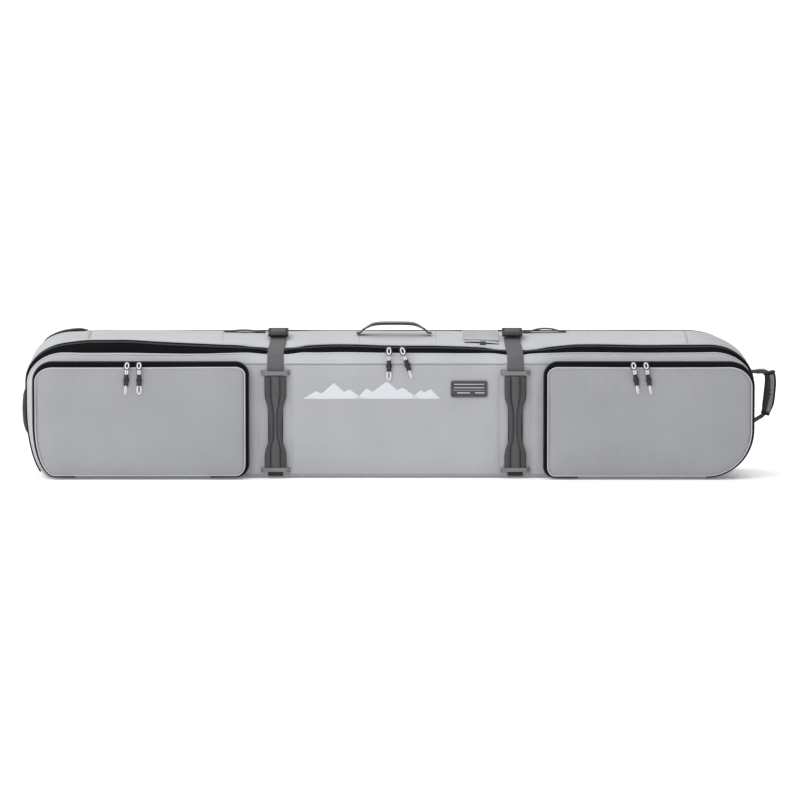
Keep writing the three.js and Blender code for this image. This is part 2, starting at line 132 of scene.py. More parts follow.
def add_piece(name, points, faces, materials, body=None, slot=None, replaces=(), which=None, uv=None,
        fix=True, flat=False):
    mesh = bpy.data.meshes.new(name)
    mesh.from_pydata([tuple(p) for p in np.asarray(points, float) * MM], [], [tuple(f) for f in faces])
    for m in materials if isinstance(materials, (list, tuple)) else [materials]:
        mesh.materials.append(m)
    if which is not None:
        mesh.polygons.foreach_set("material_index", np.asarray(which, np.int32))
    if uv is not None:
        layer = mesh.uv_layers.new(name="UVMap")
        corners = np.zeros(len(mesh.loops), np.int32)
        mesh.loops.foreach_get("vertex_index", corners)
        layer.data.foreach_set("uv", (np.asarray(uv, np.float32)[corners] * MM).ravel())
    if fix:
        bm = bmesh.new()
        bm.from_mesh(mesh)
        bmesh.ops.recalc_face_normals(bm, faces=bm.faces)
        bm.to_mesh(mesh)
        bm.free()
    mesh.polygons.foreach_set("use_smooth", np.full(len(mesh.polygons), not flat))
    obj = bpy.data.objects.new(name, mesh)
    bpy.context.scene.collection.objects.link(obj)
    if body:
        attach(obj, body)
    if replaces:
        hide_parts(*replaces)
    return obj


def join_parts(parts):
    """Lists of (points, faces) as one list of points and one of faces."""
    points, faces, count = [], [], 0
    for p, f in parts:
        p = np.asarray(p, float).reshape(-1, 3)
        points.append(p)
        faces += [tuple(i + count for i in face) for face in f]
        count += len(p)
    return np.concatenate(points), faces


def slab(outer, inner, wrap=False):
    """A closed sheet between two grids of the same size, and which faces are its inside."""
    rows, cols = outer.shape[:2]
    n = rows * cols
    faces = grid_quads(rows, cols, wrap) + grid_quads(rows, cols, wrap, n)
    which = [0] * (len(faces) // 2) + [1] * (len(faces) // 2)
    rim = []
    for r in (0, rows - 1):
        for c in range(cols if wrap else cols - 1):
            rim.append((r * cols + c, r * cols + (c + 1) % cols))
    if not wrap:
        for c in (0, cols - 1):
            rim += [(r * cols + c, (r + 1) * cols + c) for r in range(rows - 1)]
    faces += [(a, b, b + n, a + n) for a, b in rim]
    which += [0] * len(rim)
    return np.concatenate([outer.reshape(-1, 3), inner.reshape(-1, 3)]), faces, which


def sweep(path, across, profile, closed=False, taper=None):
    """A profile of (across, outward) points carried along a path; across is one direction or many."""
    path = np.asarray(path, float)
    if closed:
        tangent = unit(np.roll(path, -1, axis=0) - np.roll(path, 1, axis=0))
    else:
        tangent = unit(np.gradient(path, axis=0))
    across = np.broadcast_to(np.asarray(across, float), path.shape)
    across = unit(across - (across * tangent).sum(1, keepdims=True) * tangent)
    outward = np.cross(across, tangent)
    profile = np.asarray(profile, float)
    size = np.ones(len(path)) if taper is None else np.asarray(taper, float)
    points = path[:, None] + (profile[None, :, :1] * across[:, None] + profile[None, :, 1:] * outward[:,
        None]) * size[:, None, None]
    rows, cols = points.shape[:2]
    faces = grid_quads(rows, cols, True)
    if closed:
        last = (rows - 1) * cols
        faces += [(last + c, last + (c + 1) % cols, (c + 1) % cols, c) for c in range(cols)]
    else:
        faces += [tuple(range(cols)), tuple((rows - 1) * cols + c for c in range(cols))]
    step = np.linalg.norm(np.diff(path, axis=0), axis=1)
    along = np.concatenate([[0], np.cumsum(step)])
    uv = np.stack([np.broadcast_to(profile[:, 0], (rows, cols)),
        np.broadcast_to(along[:, None], (rows, cols))], -1)
    return points.reshape(-1, 3), faces, uv.reshape(-1, 2)


def tube(path, radius, sides=8, closed=False, taper=None):
    path = np.asarray(path, float)
    tangent = unit(np.gradient(path, axis=0))
    side = np.cross(tangent[0], UP if abs(tangent[0][2]) < 0.9 else FRONT)
    across = []
    for t in tangent:
        side = side - side.dot(t) * t
        side = side / np.linalg.norm(side)
        across.append(side)
    turn = np.linspace(0, 2 * np.pi, sides, endpoint=False)
    points, faces, _ = sweep(path, np.array(across), np.stack([np.cos(turn), np.sin(turn)], 1) * radius,
        closed, taper)
    return points, faces


def strap_profile(width, thickness):
    w, t = width / 2, thickness / 2
    half = [(w - t, -t), (w - 0.3 * t, -0.75 * t), (w, 0), (w - 0.3 * t, 0.75 * t), (w - t, t)]
    ribs = [(w * 0.5, t * 1.04), (0, t), (-w * 0.5, t * 1.04)]
    return half + ribs + [(-x, -y) for x, y in half] + [(-x, -y) for x, y in ribs]


def resample(points, step):
    points = np.asarray(points, float)
    gaps = np.linalg.norm(np.diff(points, axis=0), axis=1)
    along = np.concatenate([[0], np.cumsum(gaps)])
    count = max(2, int(round(along[-1] / step)) + 1)
    at = np.linspace(0, along[-1], count)
    return np.stack([np.interp(at, along, points[:, k]) for k in range(3)], 1)


def spline(points, step):
    """A smooth path through the points, at an even step."""
    points = np.asarray(points, float)
    padded = np.concatenate([[2 * points[0] - points[1]], points, [2 * points[-1] - points[-2]]])
    out = []
    for i in range(1, len(padded) - 2):
        p0, p1, p2, p3 = padded[i - 1 : i + 3]
        for t in np.linspace(0, 1, 12, endpoint=False):
            square = (2 * p0 - 5 * p1 + 4 * p2 - p3) * t**2
            cube = (3 * p1 - p0 - 3 * p2 + p3) * t**3
            out.append(0.5 * (2 * p1 + (p2 - p0) * t + square + cube))
    out.append(points[-1])
    return resample(out, step)


def stitch_parts(path, normal, pitch=5.0, length=3.2, width=0.9, height=0.45):
    """A row of thread stitches lying on a surface along a path."""
    path = resample(path, pitch / 2)
    parts = []
    normal = unit(np.asarray(normal, float))
    for i in range(1, len(path) - 1, 2):
        t = unit(path[i + 1] - path[i - 1])
        side = unit(np.cross(t, normal)) * width / 2
        a, b, top = path[i] - t * length / 2, path[i] + t * length / 2, normal * height
        low = -normal * 0.3
        ring = [a + side + low, a + side * 0.6 + top * 0.7, a - side * 0.6 + top * 0.7, a - side + low]
        mid = [path[i] + side + low, path[i] + side * 0.7 + top, path[i] - side * 0.7 + top,
            path[i] - side + low]
        end = [b + side + low, b + side * 0.6 + top * 0.7, b - side * 0.6 + top * 0.7, b - side + low]
        faces = [(0, 1, 5, 4), (1, 2, 6, 5), (2, 3, 7, 6), (4, 5, 9, 8), (5, 6, 10, 9), (6, 7, 11, 10),
            (0, 3, 2, 1), (8, 9, 10, 11), (0, 4, 7, 3), (4, 8, 11, 7)]
        parts.append((ring + mid + end, faces))
    return parts


def add_stitches(name, runs, body, material=None, **size):
    parts = [part for path, normal in runs for part in stitch_parts(path, normal, **size)]
    points, faces = join_parts(parts)
    return add_piece(name, points, faces, material or THREAD, body, "shell_fabric")


def lathe(profile, centre, sides=48, axis="z"):
    turn = np.linspace(0, 2 * np.pi, sides, endpoint=False)
    r, h = np.array(profile, float).T
    points = np.stack([np.outer(np.cos(turn), r), np.outer(np.sin(turn), r),
        np.broadcast_to(h, (sides, len(h)))], -1)
    faces = grid_quads(sides, len(r), True)
    last = (sides - 1) * len(r)
    faces += [(last + c, last + (c + 1) % len(r), (c + 1) % len(r), c) for c in range(len(r))]
    points = points.reshape(-1, 3)
    if axis == "y":
        points = points[:, [0, 2, 1]]
    if axis == "x":
        points = points[:, [2, 0, 1]]
    return points + np.array(centre, float), faces


def soft_box(centre, size, radius, bend=2):
    """A box with rounded edges."""
    bm = bmesh.new()
    bmesh.ops.create_cube(bm, size=1.0, matrix=Matrix.Diagonal((*size, 1)))
    bmesh.ops.bevel(bm, geom=list(bm.edges), offset=radius, segments=bend, profile=0.5, affect="EDGES",
        clamp_overlap=True)
    bm.verts.index_update()
    points = np.array([v.co for v in bm.verts]) + np.array(centre, float)
    faces = [tuple(v.index for v in f.verts) for f in bm.faces]
    bm.free()
    return points, faces


def turned(points, angle, axis, pivot):
    m = np.array(Matrix.Rotation(angle, 3, axis))
    return (np.asarray(points, float) - pivot) @ m.T + pivot


# ---- materials ----


def shader_graph(name):
    m = bpy.data.materials.new(name)
    m.use_nodes = True
    tree = m.node_tree
    bsdf = tree.nodes["Principled BSDF"]

    def node(kind, **settings):
        n = tree.nodes.new(kind)
        for key, value in settings.items():
            if hasattr(n, key):
                setattr(n, key, value)
            else:
                n.inputs[key].default_value = value
        return n

    def link(a, b):
        tree.links.new(a, b)

    def maths(operation, a, b=None):
        n = node("ShaderNodeMath", operation=operation)
        for i, value in enumerate((a, b)):
            if value is None:
                continue
            if isinstance(value, (int, float)):
                n.inputs[i].default_value = value
            else:
                link(value, n.inputs[i])
        return n.outputs[0]

    return m, bsdf, node, link, maths


def ramp(node, link, factor, low, high, start=0.3, end=0.7):
    r = node("ShaderNodeValToRGB")
    r.color_ramp.elements[0].position = start
    r.color_ramp.elements[1].position = end
    r.color_ramp.elements[0].color = (*low, 1)
    r.color_ramp.elements[1].color = (*high, 1)
    link(factor, r.inputs[0])
    return r.outputs[0]


def linear(hexa):
    c = [int(hexa[i : i + 2], 16) / 255 for i in (1, 3, 5)]
    return [v / 12.92 if v < 0.04045 else ((v + 0.055) / 1.055) ** 2.4 for v in c]


def fabric(name, colour, pitch=1.1, weave=0.35, contrast=0.05, crumple=0.5, roughness=0.85, sheen=0.15):
    """Plain-woven cloth: crossing threads, soft crumples and a slight unevenness of colour."""
    m, bsdf, node, link, maths = shader_graph(name)
    place = node("ShaderNodeTexCoord").outputs["Object"]
    split = node("ShaderNodeSeparateXYZ")
    link(place, split.inputs[0])
    x, y, z = split.outputs
    lean = maths("MULTIPLY", y, 0.83)
    rate = 2 * math.pi / (pitch * MM)
    warp = maths("SINE", maths("MULTIPLY", maths("ADD", x, lean), rate))
    weft = maths("SINE", maths("MULTIPLY", maths("ADD", z, lean), rate))
    threads = maths("MULTIPLY", warp, weft)
    fuzz = node("ShaderNodeTexNoise", Scale=520.0, Detail=3.0)
    blotch = node("ShaderNodeTexNoise", Scale=7.0, Detail=4.0)
    folds = node("ShaderNodeTexNoise", Scale=26.0, Detail=3.0, Distortion=0.4)
    for n in (fuzz, blotch, folds):
        link(place, n.inputs["Vector"])
    base = np.array(linear(colour))
    tone = ramp(node, link, blotch.outputs[0], base * (1 - contrast), base * (1 + contrast))
    mixed = node("ShaderNodeMixRGB", blend_type="MULTIPLY")
    mixed.inputs[0].default_value = 0.5
    link(tone, mixed.inputs[1])
    grain = maths("ADD", maths("MULTIPLY", threads, 0.10), maths("MULTIPLY", fuzz.outputs[0], 0.16))
    shade = node("ShaderNodeCombineColor")
    lifted = maths("ADD", grain, 0.92)
    for i in range(3):
        link(lifted, shade.inputs[i])
    link(shade.outputs[0], mixed.inputs[2])
    link(mixed.outputs[0], bsdf.inputs["Base Color"])
    height = maths("ADD", maths("MULTIPLY", threads, 0.5), maths("MULTIPLY", fuzz.outputs[0], 0.9))
    fine = node("ShaderNodeBump", Strength=weave, Distance=0.0004)
    coarse = node("ShaderNodeBump", Strength=crumple, Distance=0.0022)
    link(height, fine.inputs["Height"])
    link(folds.outputs[0], coarse.inputs["Height"])
    link(coarse.outputs[0], fine.inputs["Normal"])
    link(fine.outputs[0], bsdf.inputs["Normal"])
    bsdf.inputs["Roughness"].default_value = roughness
    bsdf.inputs["Sheen Weight"].default_value = sheen
    bsdf.inputs["Sheen Roughness"].default_value = 0.5
    bsdf.inputs["Specular IOR Level"].default_value = 0.25
    return m


def webbing(name, colour, pitch=2.0, contrast=0.22, roughness=0.75, sheen=0.06, gloss=0.25):
    """Woven strap with ribs across it and fine rows along it."""
    m, bsdf, node, link, maths = shader_graph(name)
    place = node("ShaderNodeTexCoord")
    split = node("ShaderNodeSeparateXYZ")
    link(place.outputs["UV"], split.inputs[0])
    u, v, _ = split.outputs
    rate = 2 * math.pi / (pitch * MM)
    lean = maths("MULTIPLY", maths("PINGPONG", u, 0.0035), 0.9)
    ribs = maths("SINE", maths("MULTIPLY", maths("ADD", v, lean), rate))
    rows = maths("SINE", maths("MULTIPLY", u, rate * 0.72))
    woven = maths("ADD", maths("MULTIPLY", ribs, 0.65), maths("MULTIPLY", rows, 0.35))
    fuzz = node("ShaderNodeTexNoise", Scale=700.0, Detail=3.0)
    blotch = node("ShaderNodeTexNoise", Scale=24.0, Detail=3.0)
    for n in (fuzz, blotch):
        link(place.outputs["Object"], n.inputs["Vector"])
    base = np.array(linear(colour))
    tone = maths("ADD", maths("MULTIPLY", woven, 0.22),
        maths("ADD", maths("MULTIPLY", fuzz.outputs[0], 0.35), maths("MULTIPLY", blotch.outputs[0], 0.3)))
    link(ramp(node, link, tone, base * (1 - contrast), base * (1 + contrast), 0.1, 0.6),
        bsdf.inputs["Base Color"])
    bump = node("ShaderNodeBump", Strength=0.5, Distance=0.0005)
    link(maths("ADD", woven, maths("MULTIPLY", fuzz.outputs[0], 0.6)), bump.inputs["Height"])
    link(bump.outputs[0], bsdf.inputs["Normal"])
    bsdf.inputs["Roughness"].default_value = roughness
    bsdf.inputs["Sheen Weight"].default_value = sheen
    bsdf.inputs["Specular IOR Level"].default_value = gloss
    return m


def moulded(name, colour, roughness=0.45, grain=900.0, depth=0.25, metallic=0.0, wear=0.12, coat=0.0):
    """Textured plastic, rubber or metal with slight scuffs that change its gloss."""
    m, bsdf, node, link, maths = shader_graph(name)
    place = node("ShaderNodeTexCoord").outputs["Object"]
    fine = node("ShaderNodeTexNoise", Scale=grain, Detail=3.0)
    scuff = node("ShaderNodeTexNoise", Scale=38.0, Detail=6.0, Roughness=0.7)
    for n in (fine, scuff):
        link(place, n.inputs["Vector"])
    base = np.array(linear(colour))
    link(ramp(node, link, scuff.outputs[0], base * 0.9, base * 1.12 + 0.004, 0.35, 0.75),
        bsdf.inputs["Base Color"])
    rough = maths("ADD", maths("MULTIPLY", scuff.outputs[0], wear * 2), roughness - wear)
    link(rough, bsdf.inputs["Roughness"])
    bump = node("ShaderNodeBump", Strength=depth, Distance=0.0003)
    link(fine.outputs[0], bump.inputs["Height"])
    link(bump.outputs[0], bsdf.inputs["Normal"])
    bsdf.inputs["Metallic"].default_value = metallic
    bsdf.inputs["Coat Weight"].default_value = coat
    return m


SHELL = fabric("shell_fabric", "#a2a3a6", sheen=0.05)
# A darker copy of the shell fabric for the pockets: painted shade, the pockets taking less light than the
# middle of the front.
POCKET_PAINTED_SHADE = fabric("pocket_fabric_painted_shade", "#939497", sheen=0.05)
# A lighter copy of the shell fabric for the top and the lid's shoulder strip: painted highlight where light
# falls from above.
TOP_PAINTED_HIGHLIGHT = fabric("top_fabric", "#aeb0b3", crumple=0.6, sheen=0.05)
END = fabric("end_fabric", "#aaacaf", weave=0.5, pitch=1.4, sheen=0.05)
LINING = fabric("lining_fabric", "#4b4d50", pitch=1.8, weave=0.3, contrast=0.08, crumple=0.9,
    roughness=0.7, sheen=0.05)
WRAP = fabric("grip_wrap_fabric", "#464647", pitch=1.5, weave=0.5, contrast=0.12, crumple=0.3, sheen=0.04)
TOW_WRAP = fabric("tow_wrap_fabric", "#333334", pitch=1.5, weave=0.5, contrast=0.12, crumple=0.3, sheen=0.03)
BINDING = fabric("seam_binding", "#828487", pitch=1.2, weave=0.5, sheen=0.05)
PIPING = fabric("piping_fabric", "#161718", pitch=1.0, weave=0.4, sheen=0.0)
# A lighter copy of the shell fabric: painted highlight on the rolled lips beside the zips, round the pocket
# faces and at the card slit; also the colour of the label's bars and the window's binding.
LIP_HIGHLIGHT_AND_PALE_TRIM = fabric("lip_highlight_and_pale_trim", "#b6b7ba", pitch=1.0, crumple=0.2, sheen=0.05)
PRINT = fabric("front_print", "#c9cbd0", weave=0.3, contrast=0.02, crumple=0.5, roughness=0.7, sheen=0.0)
STRAP = webbing("strap_webbing", "#5b5b5d")
STRAP_DARK = webbing("grip_core_webbing", "#515153")
HANDLE = webbing("handle_webbing", "#828284")
TAIL = webbing("tail_webbing", "#363638", sheen=0.02)
TRIM = webbing("trim_webbing", "#48484a", sheen=0.02)
KEEPER = webbing("keeper_webbing", "#7a7a7c")
TAPE = webbing("zip_tape_weave", "#0e0f10", pitch=1.4, contrast=0.3, roughness=0.9, sheen=0.0, gloss=0.08)
COIL = moulded("zip_coil", "#0a0b0c", roughness=0.45)
ENAMEL = moulded("black_enamel", "#131416", roughness=0.35, metallic=0.3, grain=500)
CORD = fabric("braided_cord", "#dcdcda", pitch=1.3, weave=0.8, contrast=0.04, crumple=0.2, sheen=0.0)
GRIPPER = moulded("pull_grip", "#0f1011", roughness=0.5)
PLASTIC = moulded("moulded_plastic", "#151618", roughness=0.45, depth=0.5)
BUCKLE = moulded("buckle_plastic", "#0c0d0e", roughness=0.38, depth=0.2)
RUBBER = moulded("wheel_rubber", "#1c1d20", roughness=0.72, depth=0.35)
STEEL = moulded("axle_steel", "#8d9094", roughness=0.3, metallic=1.0, depth=0.1)
FILM = moulded("window_film", "#a1a3a7", roughness=0.4, depth=0.1, wear=0.05)
PATCH = fabric("patch_weave", "#4a4b4d", pitch=1.0, weave=0.5, contrast=0.08, crumple=0.1, sheen=0.02)
PATCH_RIM = fabric("patch_border", "#6a6b6d", pitch=0.9, weave=0.7, contrast=0.1, crumple=0.1, sheen=0.02)
FLOOR_GLOW = 0.12
THREAD = fabric("sewing_thread", "#a2a3a6", pitch=0.8, weave=0.6, contrast=0.05, crumple=0.1, sheen=0.0)
DARK_THREAD = fabric("dark_thread", "#2e2e30", pitch=0.8, weave=0.6, contrast=0.05, crumple=0.1, sheen=0.0)
FLOOR = fabric("floor_paper", "#fbfbfb", pitch=4.0, weave=0.02, contrast=0.004, crumple=0.0,
    roughness=0.95, sheen=0.0)

# ---- cloth ----


def inflate(grid, pinned, outward, pressure, cap, slack=0.0, frames=20, stiff=15.0):
    """The grid blown out as cloth, sewn down where pinned; no point moves more than cap millimetres."""
    rows, cols = grid.shape[:2]
    quads = grid_quads(rows, cols)
    start = grid.reshape(-1, 3)
    a, b, d = (start[[q[i] for q in quads]] for i in (0, 1, 3))
    if (np.cross(b - a, d - a) @ outward).sum() < 0:
        quads = [q[::-1] for q in quads]
    mesh = bpy.data.meshes.new("cloth")
    mesh.from_pydata([tuple(p) for p in start * MM], [], quads)
    obj = bpy.data.objects.new("cloth", mesh)
    bpy.context.scene.collection.objects.link(obj)
    group = obj.vertex_groups.new(name="pin")
    group.add([int(i) for i in np.flatnonzero(pinned.ravel())], 1.0, "REPLACE")
    cloth = obj.modifiers.new("Cloth", "CLOTH")
    s = cloth.settings
    s.quality = 5
    s.mass = 0.3
    s.tension_stiffness = s.compression_stiffness = stiff
    s.bending_stiffness = 0.8
    s.shear_stiffness = 5
    s.use_pressure = True
    s.uniform_pressure_force = pressure
    s.vertex_group_mass = "pin"
    s.shrink_min = -slack
    s.effector_weights.gravity = 0
    cloth.collision_settings.use_collision = False
    cloth.point_cache.frame_start = 1
    cloth.point_cache.frame_end = frames
    for f in range(1, frames + 1):
        bpy.context.scene.frame_set(f)
    shown = obj.evaluated_get(bpy.context.evaluated_depsgraph_get()).data
    moved = np.zeros(len(start) * 3)
    shown.vertices.foreach_get("co", moved)
    shift = moved.reshape(-1, 3) / MM - start
    size = np.linalg.norm(shift, axis=1, keepdims=True)
    shift *= cap * np.tanh(size / cap) / np.maximum(size, 1e-9)
    bpy.data.objects.remove(obj)
    bpy.context.scene.frame_set(1)
    return (start + shift).reshape(grid.shape)


def puff(grid, pinned, outward, pressure, cap, **more):
    """inflate(); the plain crown of about that height below the return is never reached."""
    return inflate(grid, pinned, outward, pressure, cap, **more)
    near = np.where(pinned, 0.0, 1e9)
    for _ in range(12):
        for axis in (0, 1):
            for step in (1, -1):
                near = np.minimum(near, np.roll(near, step, axis) + 1)
    return grid + (cap * 0.55 * ease(near / 10.0))[..., None] * outward


# ---- the bag's outer form ----

shell_values = curve_through(SHELL_ROWS)
TOP_STEPS, BOTTOM_STEPS = 201, 101
END_STEPS = {"flat": 5, "corner": 16, "side": 14}

# How far the zip line rides above or below a straight one, along the bag.
zip_lift = curve_through([
    (-860, 0), (-760, 4), (-698, 10), (-630, 9.5), (-535, 4.5), (-441, 0), (-348, -3.5), (-292, -9),
    (-265, -11),
    (-238, -9), (-190, -3.5), (-114, -0.5), (-2, -3), (100, -4), (212, -7), (265, -12), (295, -15),
    (326, -12),
    (371, -7), (446, -1), (610, -3), (750, -1), (860, 0),
])
zip_half_width = curve_through([
    (-900, 8), (-800, 12), (-700, 15.5), (-480, 15), (-330, 12.5), (-270, 11.5), (-150, 13), (150, 13),
    (260, 11), (330, 11),
    (440, 13), (700, 13), (900, 10.5),
])


def ring(y):
    """The outline at depth y: points and outward normals in X and Z, and where its four runs start."""
    left, right, bottom, top, *r = shell_values(y)
    corners = {"tr": (right - r[0], top - r[1], r[0], r[1], 0),
        "tl": (left + r[2], top - r[3], r[2], r[3], 1),
               "bl": (left + r[4], bottom + r[5], r[4], r[5], 2),
               "br": (right - r[6], bottom + r[7], r[6], r[7], 3)}
    points, normals, starts = [], [], {}

    def line(a, b, count, normal):
        for t in np.linspace(0, 1, count, endpoint=False):
            points.append((a[0] + (b[0] - a[0]) * t, a[1] + (b[1] - a[1]) * t))
            normals.append(normal)

    def corner(key):
        cx, cz, rx, rz, quarter = corners[key]
        for t in np.linspace(0, 1, END_STEPS["corner"], endpoint=False):
            a = (quarter + t) * np.pi / 2
            points.append((cx + rx * np.cos(a), cz + rz * np.sin(a)))
            n = np.array([np.cos(a) / rx, np.sin(a) / rz])
            normals.append(tuple(n / np.linalg.norm(n)))

    starts["top"] = 0
    line((SEAM_X, top), (-SEAM_X, top), TOP_STEPS - 1, (0, 1))
    starts["wheel"] = len(points)
    line((-SEAM_X, top), (left + r[2], top), END_STEPS["flat"], (0, 1))
    corner("tl")
    line((left, top - r[3]), (left, bottom + r[5]), END_STEPS["side"], (-1, 0))
    corner("bl")
    line((left + r[4], bottom), (-SEAM_X, bottom), END_STEPS["flat"], (0, -1))
    starts["bottom"] = len(points)
    line((-SEAM_X, bottom), (SEAM_X, bottom), BOTTOM_STEPS - 1, (0, -1))
    starts["tow"] = len(points)
    line((SEAM_X, bottom), (right - r[6], bottom), END_STEPS["flat"], (0, -1))
    corner("br")
    line((right, bottom + r[7]), (right, top - r[1]), END_STEPS["side"], (1, 0))
    corner("tr")
    line((right - r[0], top), (SEAM_X, top), END_STEPS["flat"], (0, 1))
    return np.array(points), np.array(normals), starts


RING_COUNT = len(ring(0.0)[0])
STARTS = ring(0.0)[2]
RUNS = {"top": np.arange(STARTS["top"], STARTS["wheel"] + 1),
        "wheel": np.arange(STARTS["wheel"], STARTS["bottom"] + 1),
        "bottom": np.arange(STARTS["bottom"], STARTS["tow"] + 1),
        "tow": np.append(np.arange(STARTS["tow"], RING_COUNT), 0),
        "all": np.arange(RING_COUNT)}


def shell_points(depths, run="all", out=0.0):
    """A grid of points on the bag. depths holds a depth, or a row of depths, for each row."""
    index = RUNS[run]
    depths = [np.broadcast_to(np.asarray(d, float), index.shape) for d in depths]
    levels = sorted({round(float(v), 2) for row in depths for v in row})
    rings = {v: ring(v) for v in levels}
    points = np.zeros((len(depths), len(index), 3))
    normals = np.zeros_like(points)
    for i, row in enumerate(depths):
        for j, (k, depth) in enumerate(zip(index, row)):
            p, n, _ = rings[round(float(depth), 2)]
            points[i, j] = (p[k, 0], depth, p[k, 1])
            normals[i, j] = (n[k, 0], 0, n[k, 1])
    upward = np.clip(normals[..., 2], 0, 1)
    lift = zip_lift(points[..., 0]) * upward
    lift = lift * np.where(points[..., 1] < ZIP_Y, ease((points[..., 1] - FRONT_Y) / 16),
        0.22 + 0.78 * np.exp(-((points[..., 1] - ZIP_Y) / 55) ** 2))
    puffy = 1.3 * bumps(points, 110.0,
        3.1) * ease((points[..., 1] + 98) / 20) * ease((98 - points[..., 1]) / 20) * np.clip(normals[...,
        2] + 0.35, 0, 1)
    crease = strap_creases(points) * upward
    return points + normals * (lift + puffy + crease + out)[..., None], normals


def strap_creases(points):
    """Short folds that run out from under each strap where it crosses the top edge."""
    x, y = points[..., 0], points[..., 1]
    out = np.zeros(x.shape)
    for k, strap in enumerate(STRAP_X.values()):
        away = x - strap
        fade = ease((np.abs(away) - 14) / 16) * np.exp(-((np.abs(away) - 30) / 48) ** 2)
        phase = (y * 0.16 + np.abs(away) * 0.05 + k) + 1.3 * bumps(points, 60.0, 7.7 + k)
        out += 1.7 * np.sin(phase) * fade * ease((y + 99) / 10) * np.exp(-((y + 60) / 70) ** 2)
    ridge = np.exp(-((y + 52 - 5 * np.sin(x / 170)) / 5.0) ** 2) * (0.4 + 0.6 * np.sin(x / 120 + 0.6) ** 2)
    return out + 1.3 * ridge


def edge_x(run):
    """The X of each point of a run at the zip line."""
    return ring(ZIP_Y)[0][RUNS[run], 0]


def on_zip(run):
    """True where the zip runs, and False along the sewn hinge below."""
    p = ring(ZIP_Y)[0][RUNS[run]]
    return ~((p[:, 0] > HINGE_REACH[0]) & (p[:, 0] < HINGE_REACH[1]) & (p[:, 1] < 80))


# ---- the body of the bag ----

INNER = 5.0


def add_panel(name, run, replaces, material, slot, back_edge=95.0):
    """A side of the body: padded fabric from the zip to the back seam, with its lining inside."""
    gap = np.where(on_zip(run), zip_half_width(edge_x(run)) - 1.5, 0.4)
    rows = [0, 0.012, 0.035, 0.08, 0.15, 0.24, 0.34, 0.44, 0.54, 0.64, 0.74, 0.84, 0.91, 0.955, 0.985, 1]
    depths = [ZIP_Y + gap + (back_edge - ZIP_Y - gap) * t for t in rows]
    outer, normals = shell_points(depths, run)
    drop = np.array([1.6, 0.5] + [0] * (len(rows) - 4) + [0.7, 2.4])
    outer = outer - normals * drop[:, None, None]
    inner = outer - normals * INNER
    points, faces, which = slab(outer, inner)
    return add_piece(name, points, faces, [material, LINING], "root", slot, replaces, which)


# The top panel is drawn in the lighter top fabric: painted highlight of light from above.
add_panel("top_panel", "top", ["top_gusset"], TOP_PAINTED_HIGHLIGHT, "top_fabric")
add_panel("bottom_panel", "bottom", ["bottom_gusset"], SHELL, "shell_fabric")
add_panel("tow_end_panel", "tow", ["tow_end_gusset"], END, "end_fabric")

wheel_ring, _, _ = ring(60.0)
wheel_zs = wheel_ring[RUNS["wheel"], 1]
wheel_xs = wheel_ring[RUNS["wheel"], 0]
cover = 7.4 + 50 * ease((wheel_zs - 288) / 22) * ease((wheel_xs + 822) / 30)
add_panel("wheel_end_panel", "wheel", ["wheel_end_gusset"], END, "end_fabric", cover)


def back_edge_path(y, inset):
    p, n, _ = ring(y)
    keep = p[:, 0] > -SEAM_X - 1
    start = int(np.flatnonzero(~keep)[-1]) + 1
    order = np.roll(np.arange(len(p)), -start)[: int(keep.sum())]
    flat = p[order] - n[order] * inset
    return np.stack([flat[:, 0], np.full(len(order), float(y)), flat[:, 1]], 1)


points, faces = tube(back_edge_path(96.5, -0.6), 2.6, 8)
add_piece("back_piping", points, faces, PIPING, "root", "shell_fabric")


def rounded_grid(left, right, bottom, top, radii, columns, rows, fixed=None):
    """X and Z of a grid that fills a rounded rectangle. radii run anticlockwise from top right."""
    tr, tl, bl, br = radii
    even = np.linspace(bottom, top, rows)
    close = np.array([1.2, 3.0, 5.6])
    z = np.unique(np.round(np.concatenate([even, bottom + close, top - close]), 3))
    z = z[np.append(True, np.diff(z) > 1.0)]
    z[-1] = top

    def cut(r, height):
        share = np.clip(height / r[1], 0, 1)
        return r[0] * (1 - np.sqrt(1 - share * share))

    lefts = left + np.maximum(cut(tl, z - (top - tl[1])), cut(bl, bottom + bl[1] - z))
    rights = right - np.maximum(cut(tr, z - (top - tr[1])), cut(br, bottom + br[1] - z))
    if fixed is None:
        s = np.linspace(0, 1, columns)
        x = lefts[:, None] + (rights - lefts)[:, None] * s
    else:
        a, b = fixed
        ends = max(6, int(columns * 0.1))
        s = np.linspace(0, 1, ends, endpoint=False)
        middle = np.linspace(a, b, columns - 2 * ends)
        x = np.concatenate([lefts[:, None] + (a - lefts)[:, None] * s,
            np.broadcast_to(middle, (len(z), len(middle))),
                            rights[:, None] + (b - rights)[:, None] * s[::-1]], 1)
    return x, np.broadcast_to(z[:, None], x.shape)


def edge_distance(x, z, left, right, bottom, top, radii):
    """How far inside a rounded rectangle each point is."""
    tr, tl, bl, br = radii
    near = np.minimum(np.minimum(x - left, right - x), np.minimum(z - bottom, top - z))
    for edge_x, edge_z, r, sx, sz in ((right, top, tr, 1, 1), (left, top, tl, -1, 1),
            (left, bottom, bl, -1, -1), (right, bottom, br, 1, -1)):
        u = ((x - edge_x) * sx + r[0]) / r[0]
        v = ((z - edge_z) * sz + r[1]) / r[1]
        size = np.maximum(np.hypot(u, v), 1e-9)
        slope = np.hypot(u / r[0], v / r[1]) / size
        near = np.where((u > 0) & (v > 0), (1 - size) / np.maximum(slope, 1e-9), near)
    return np.maximum(near, 0)


def rolled(distance, radius):
    """How far a rolled edge drops below the face, at a distance from the rim."""
    d = np.minimum(distance, radius)
    return radius - np.sqrt(np.maximum(radius**2 - (radius - d) ** 2, 0))


def border(shape):
    mask = np.zeros(shape, bool)
    mask[[0, -1], :] = True
    mask[:, [0, -1]] = True
    return mask


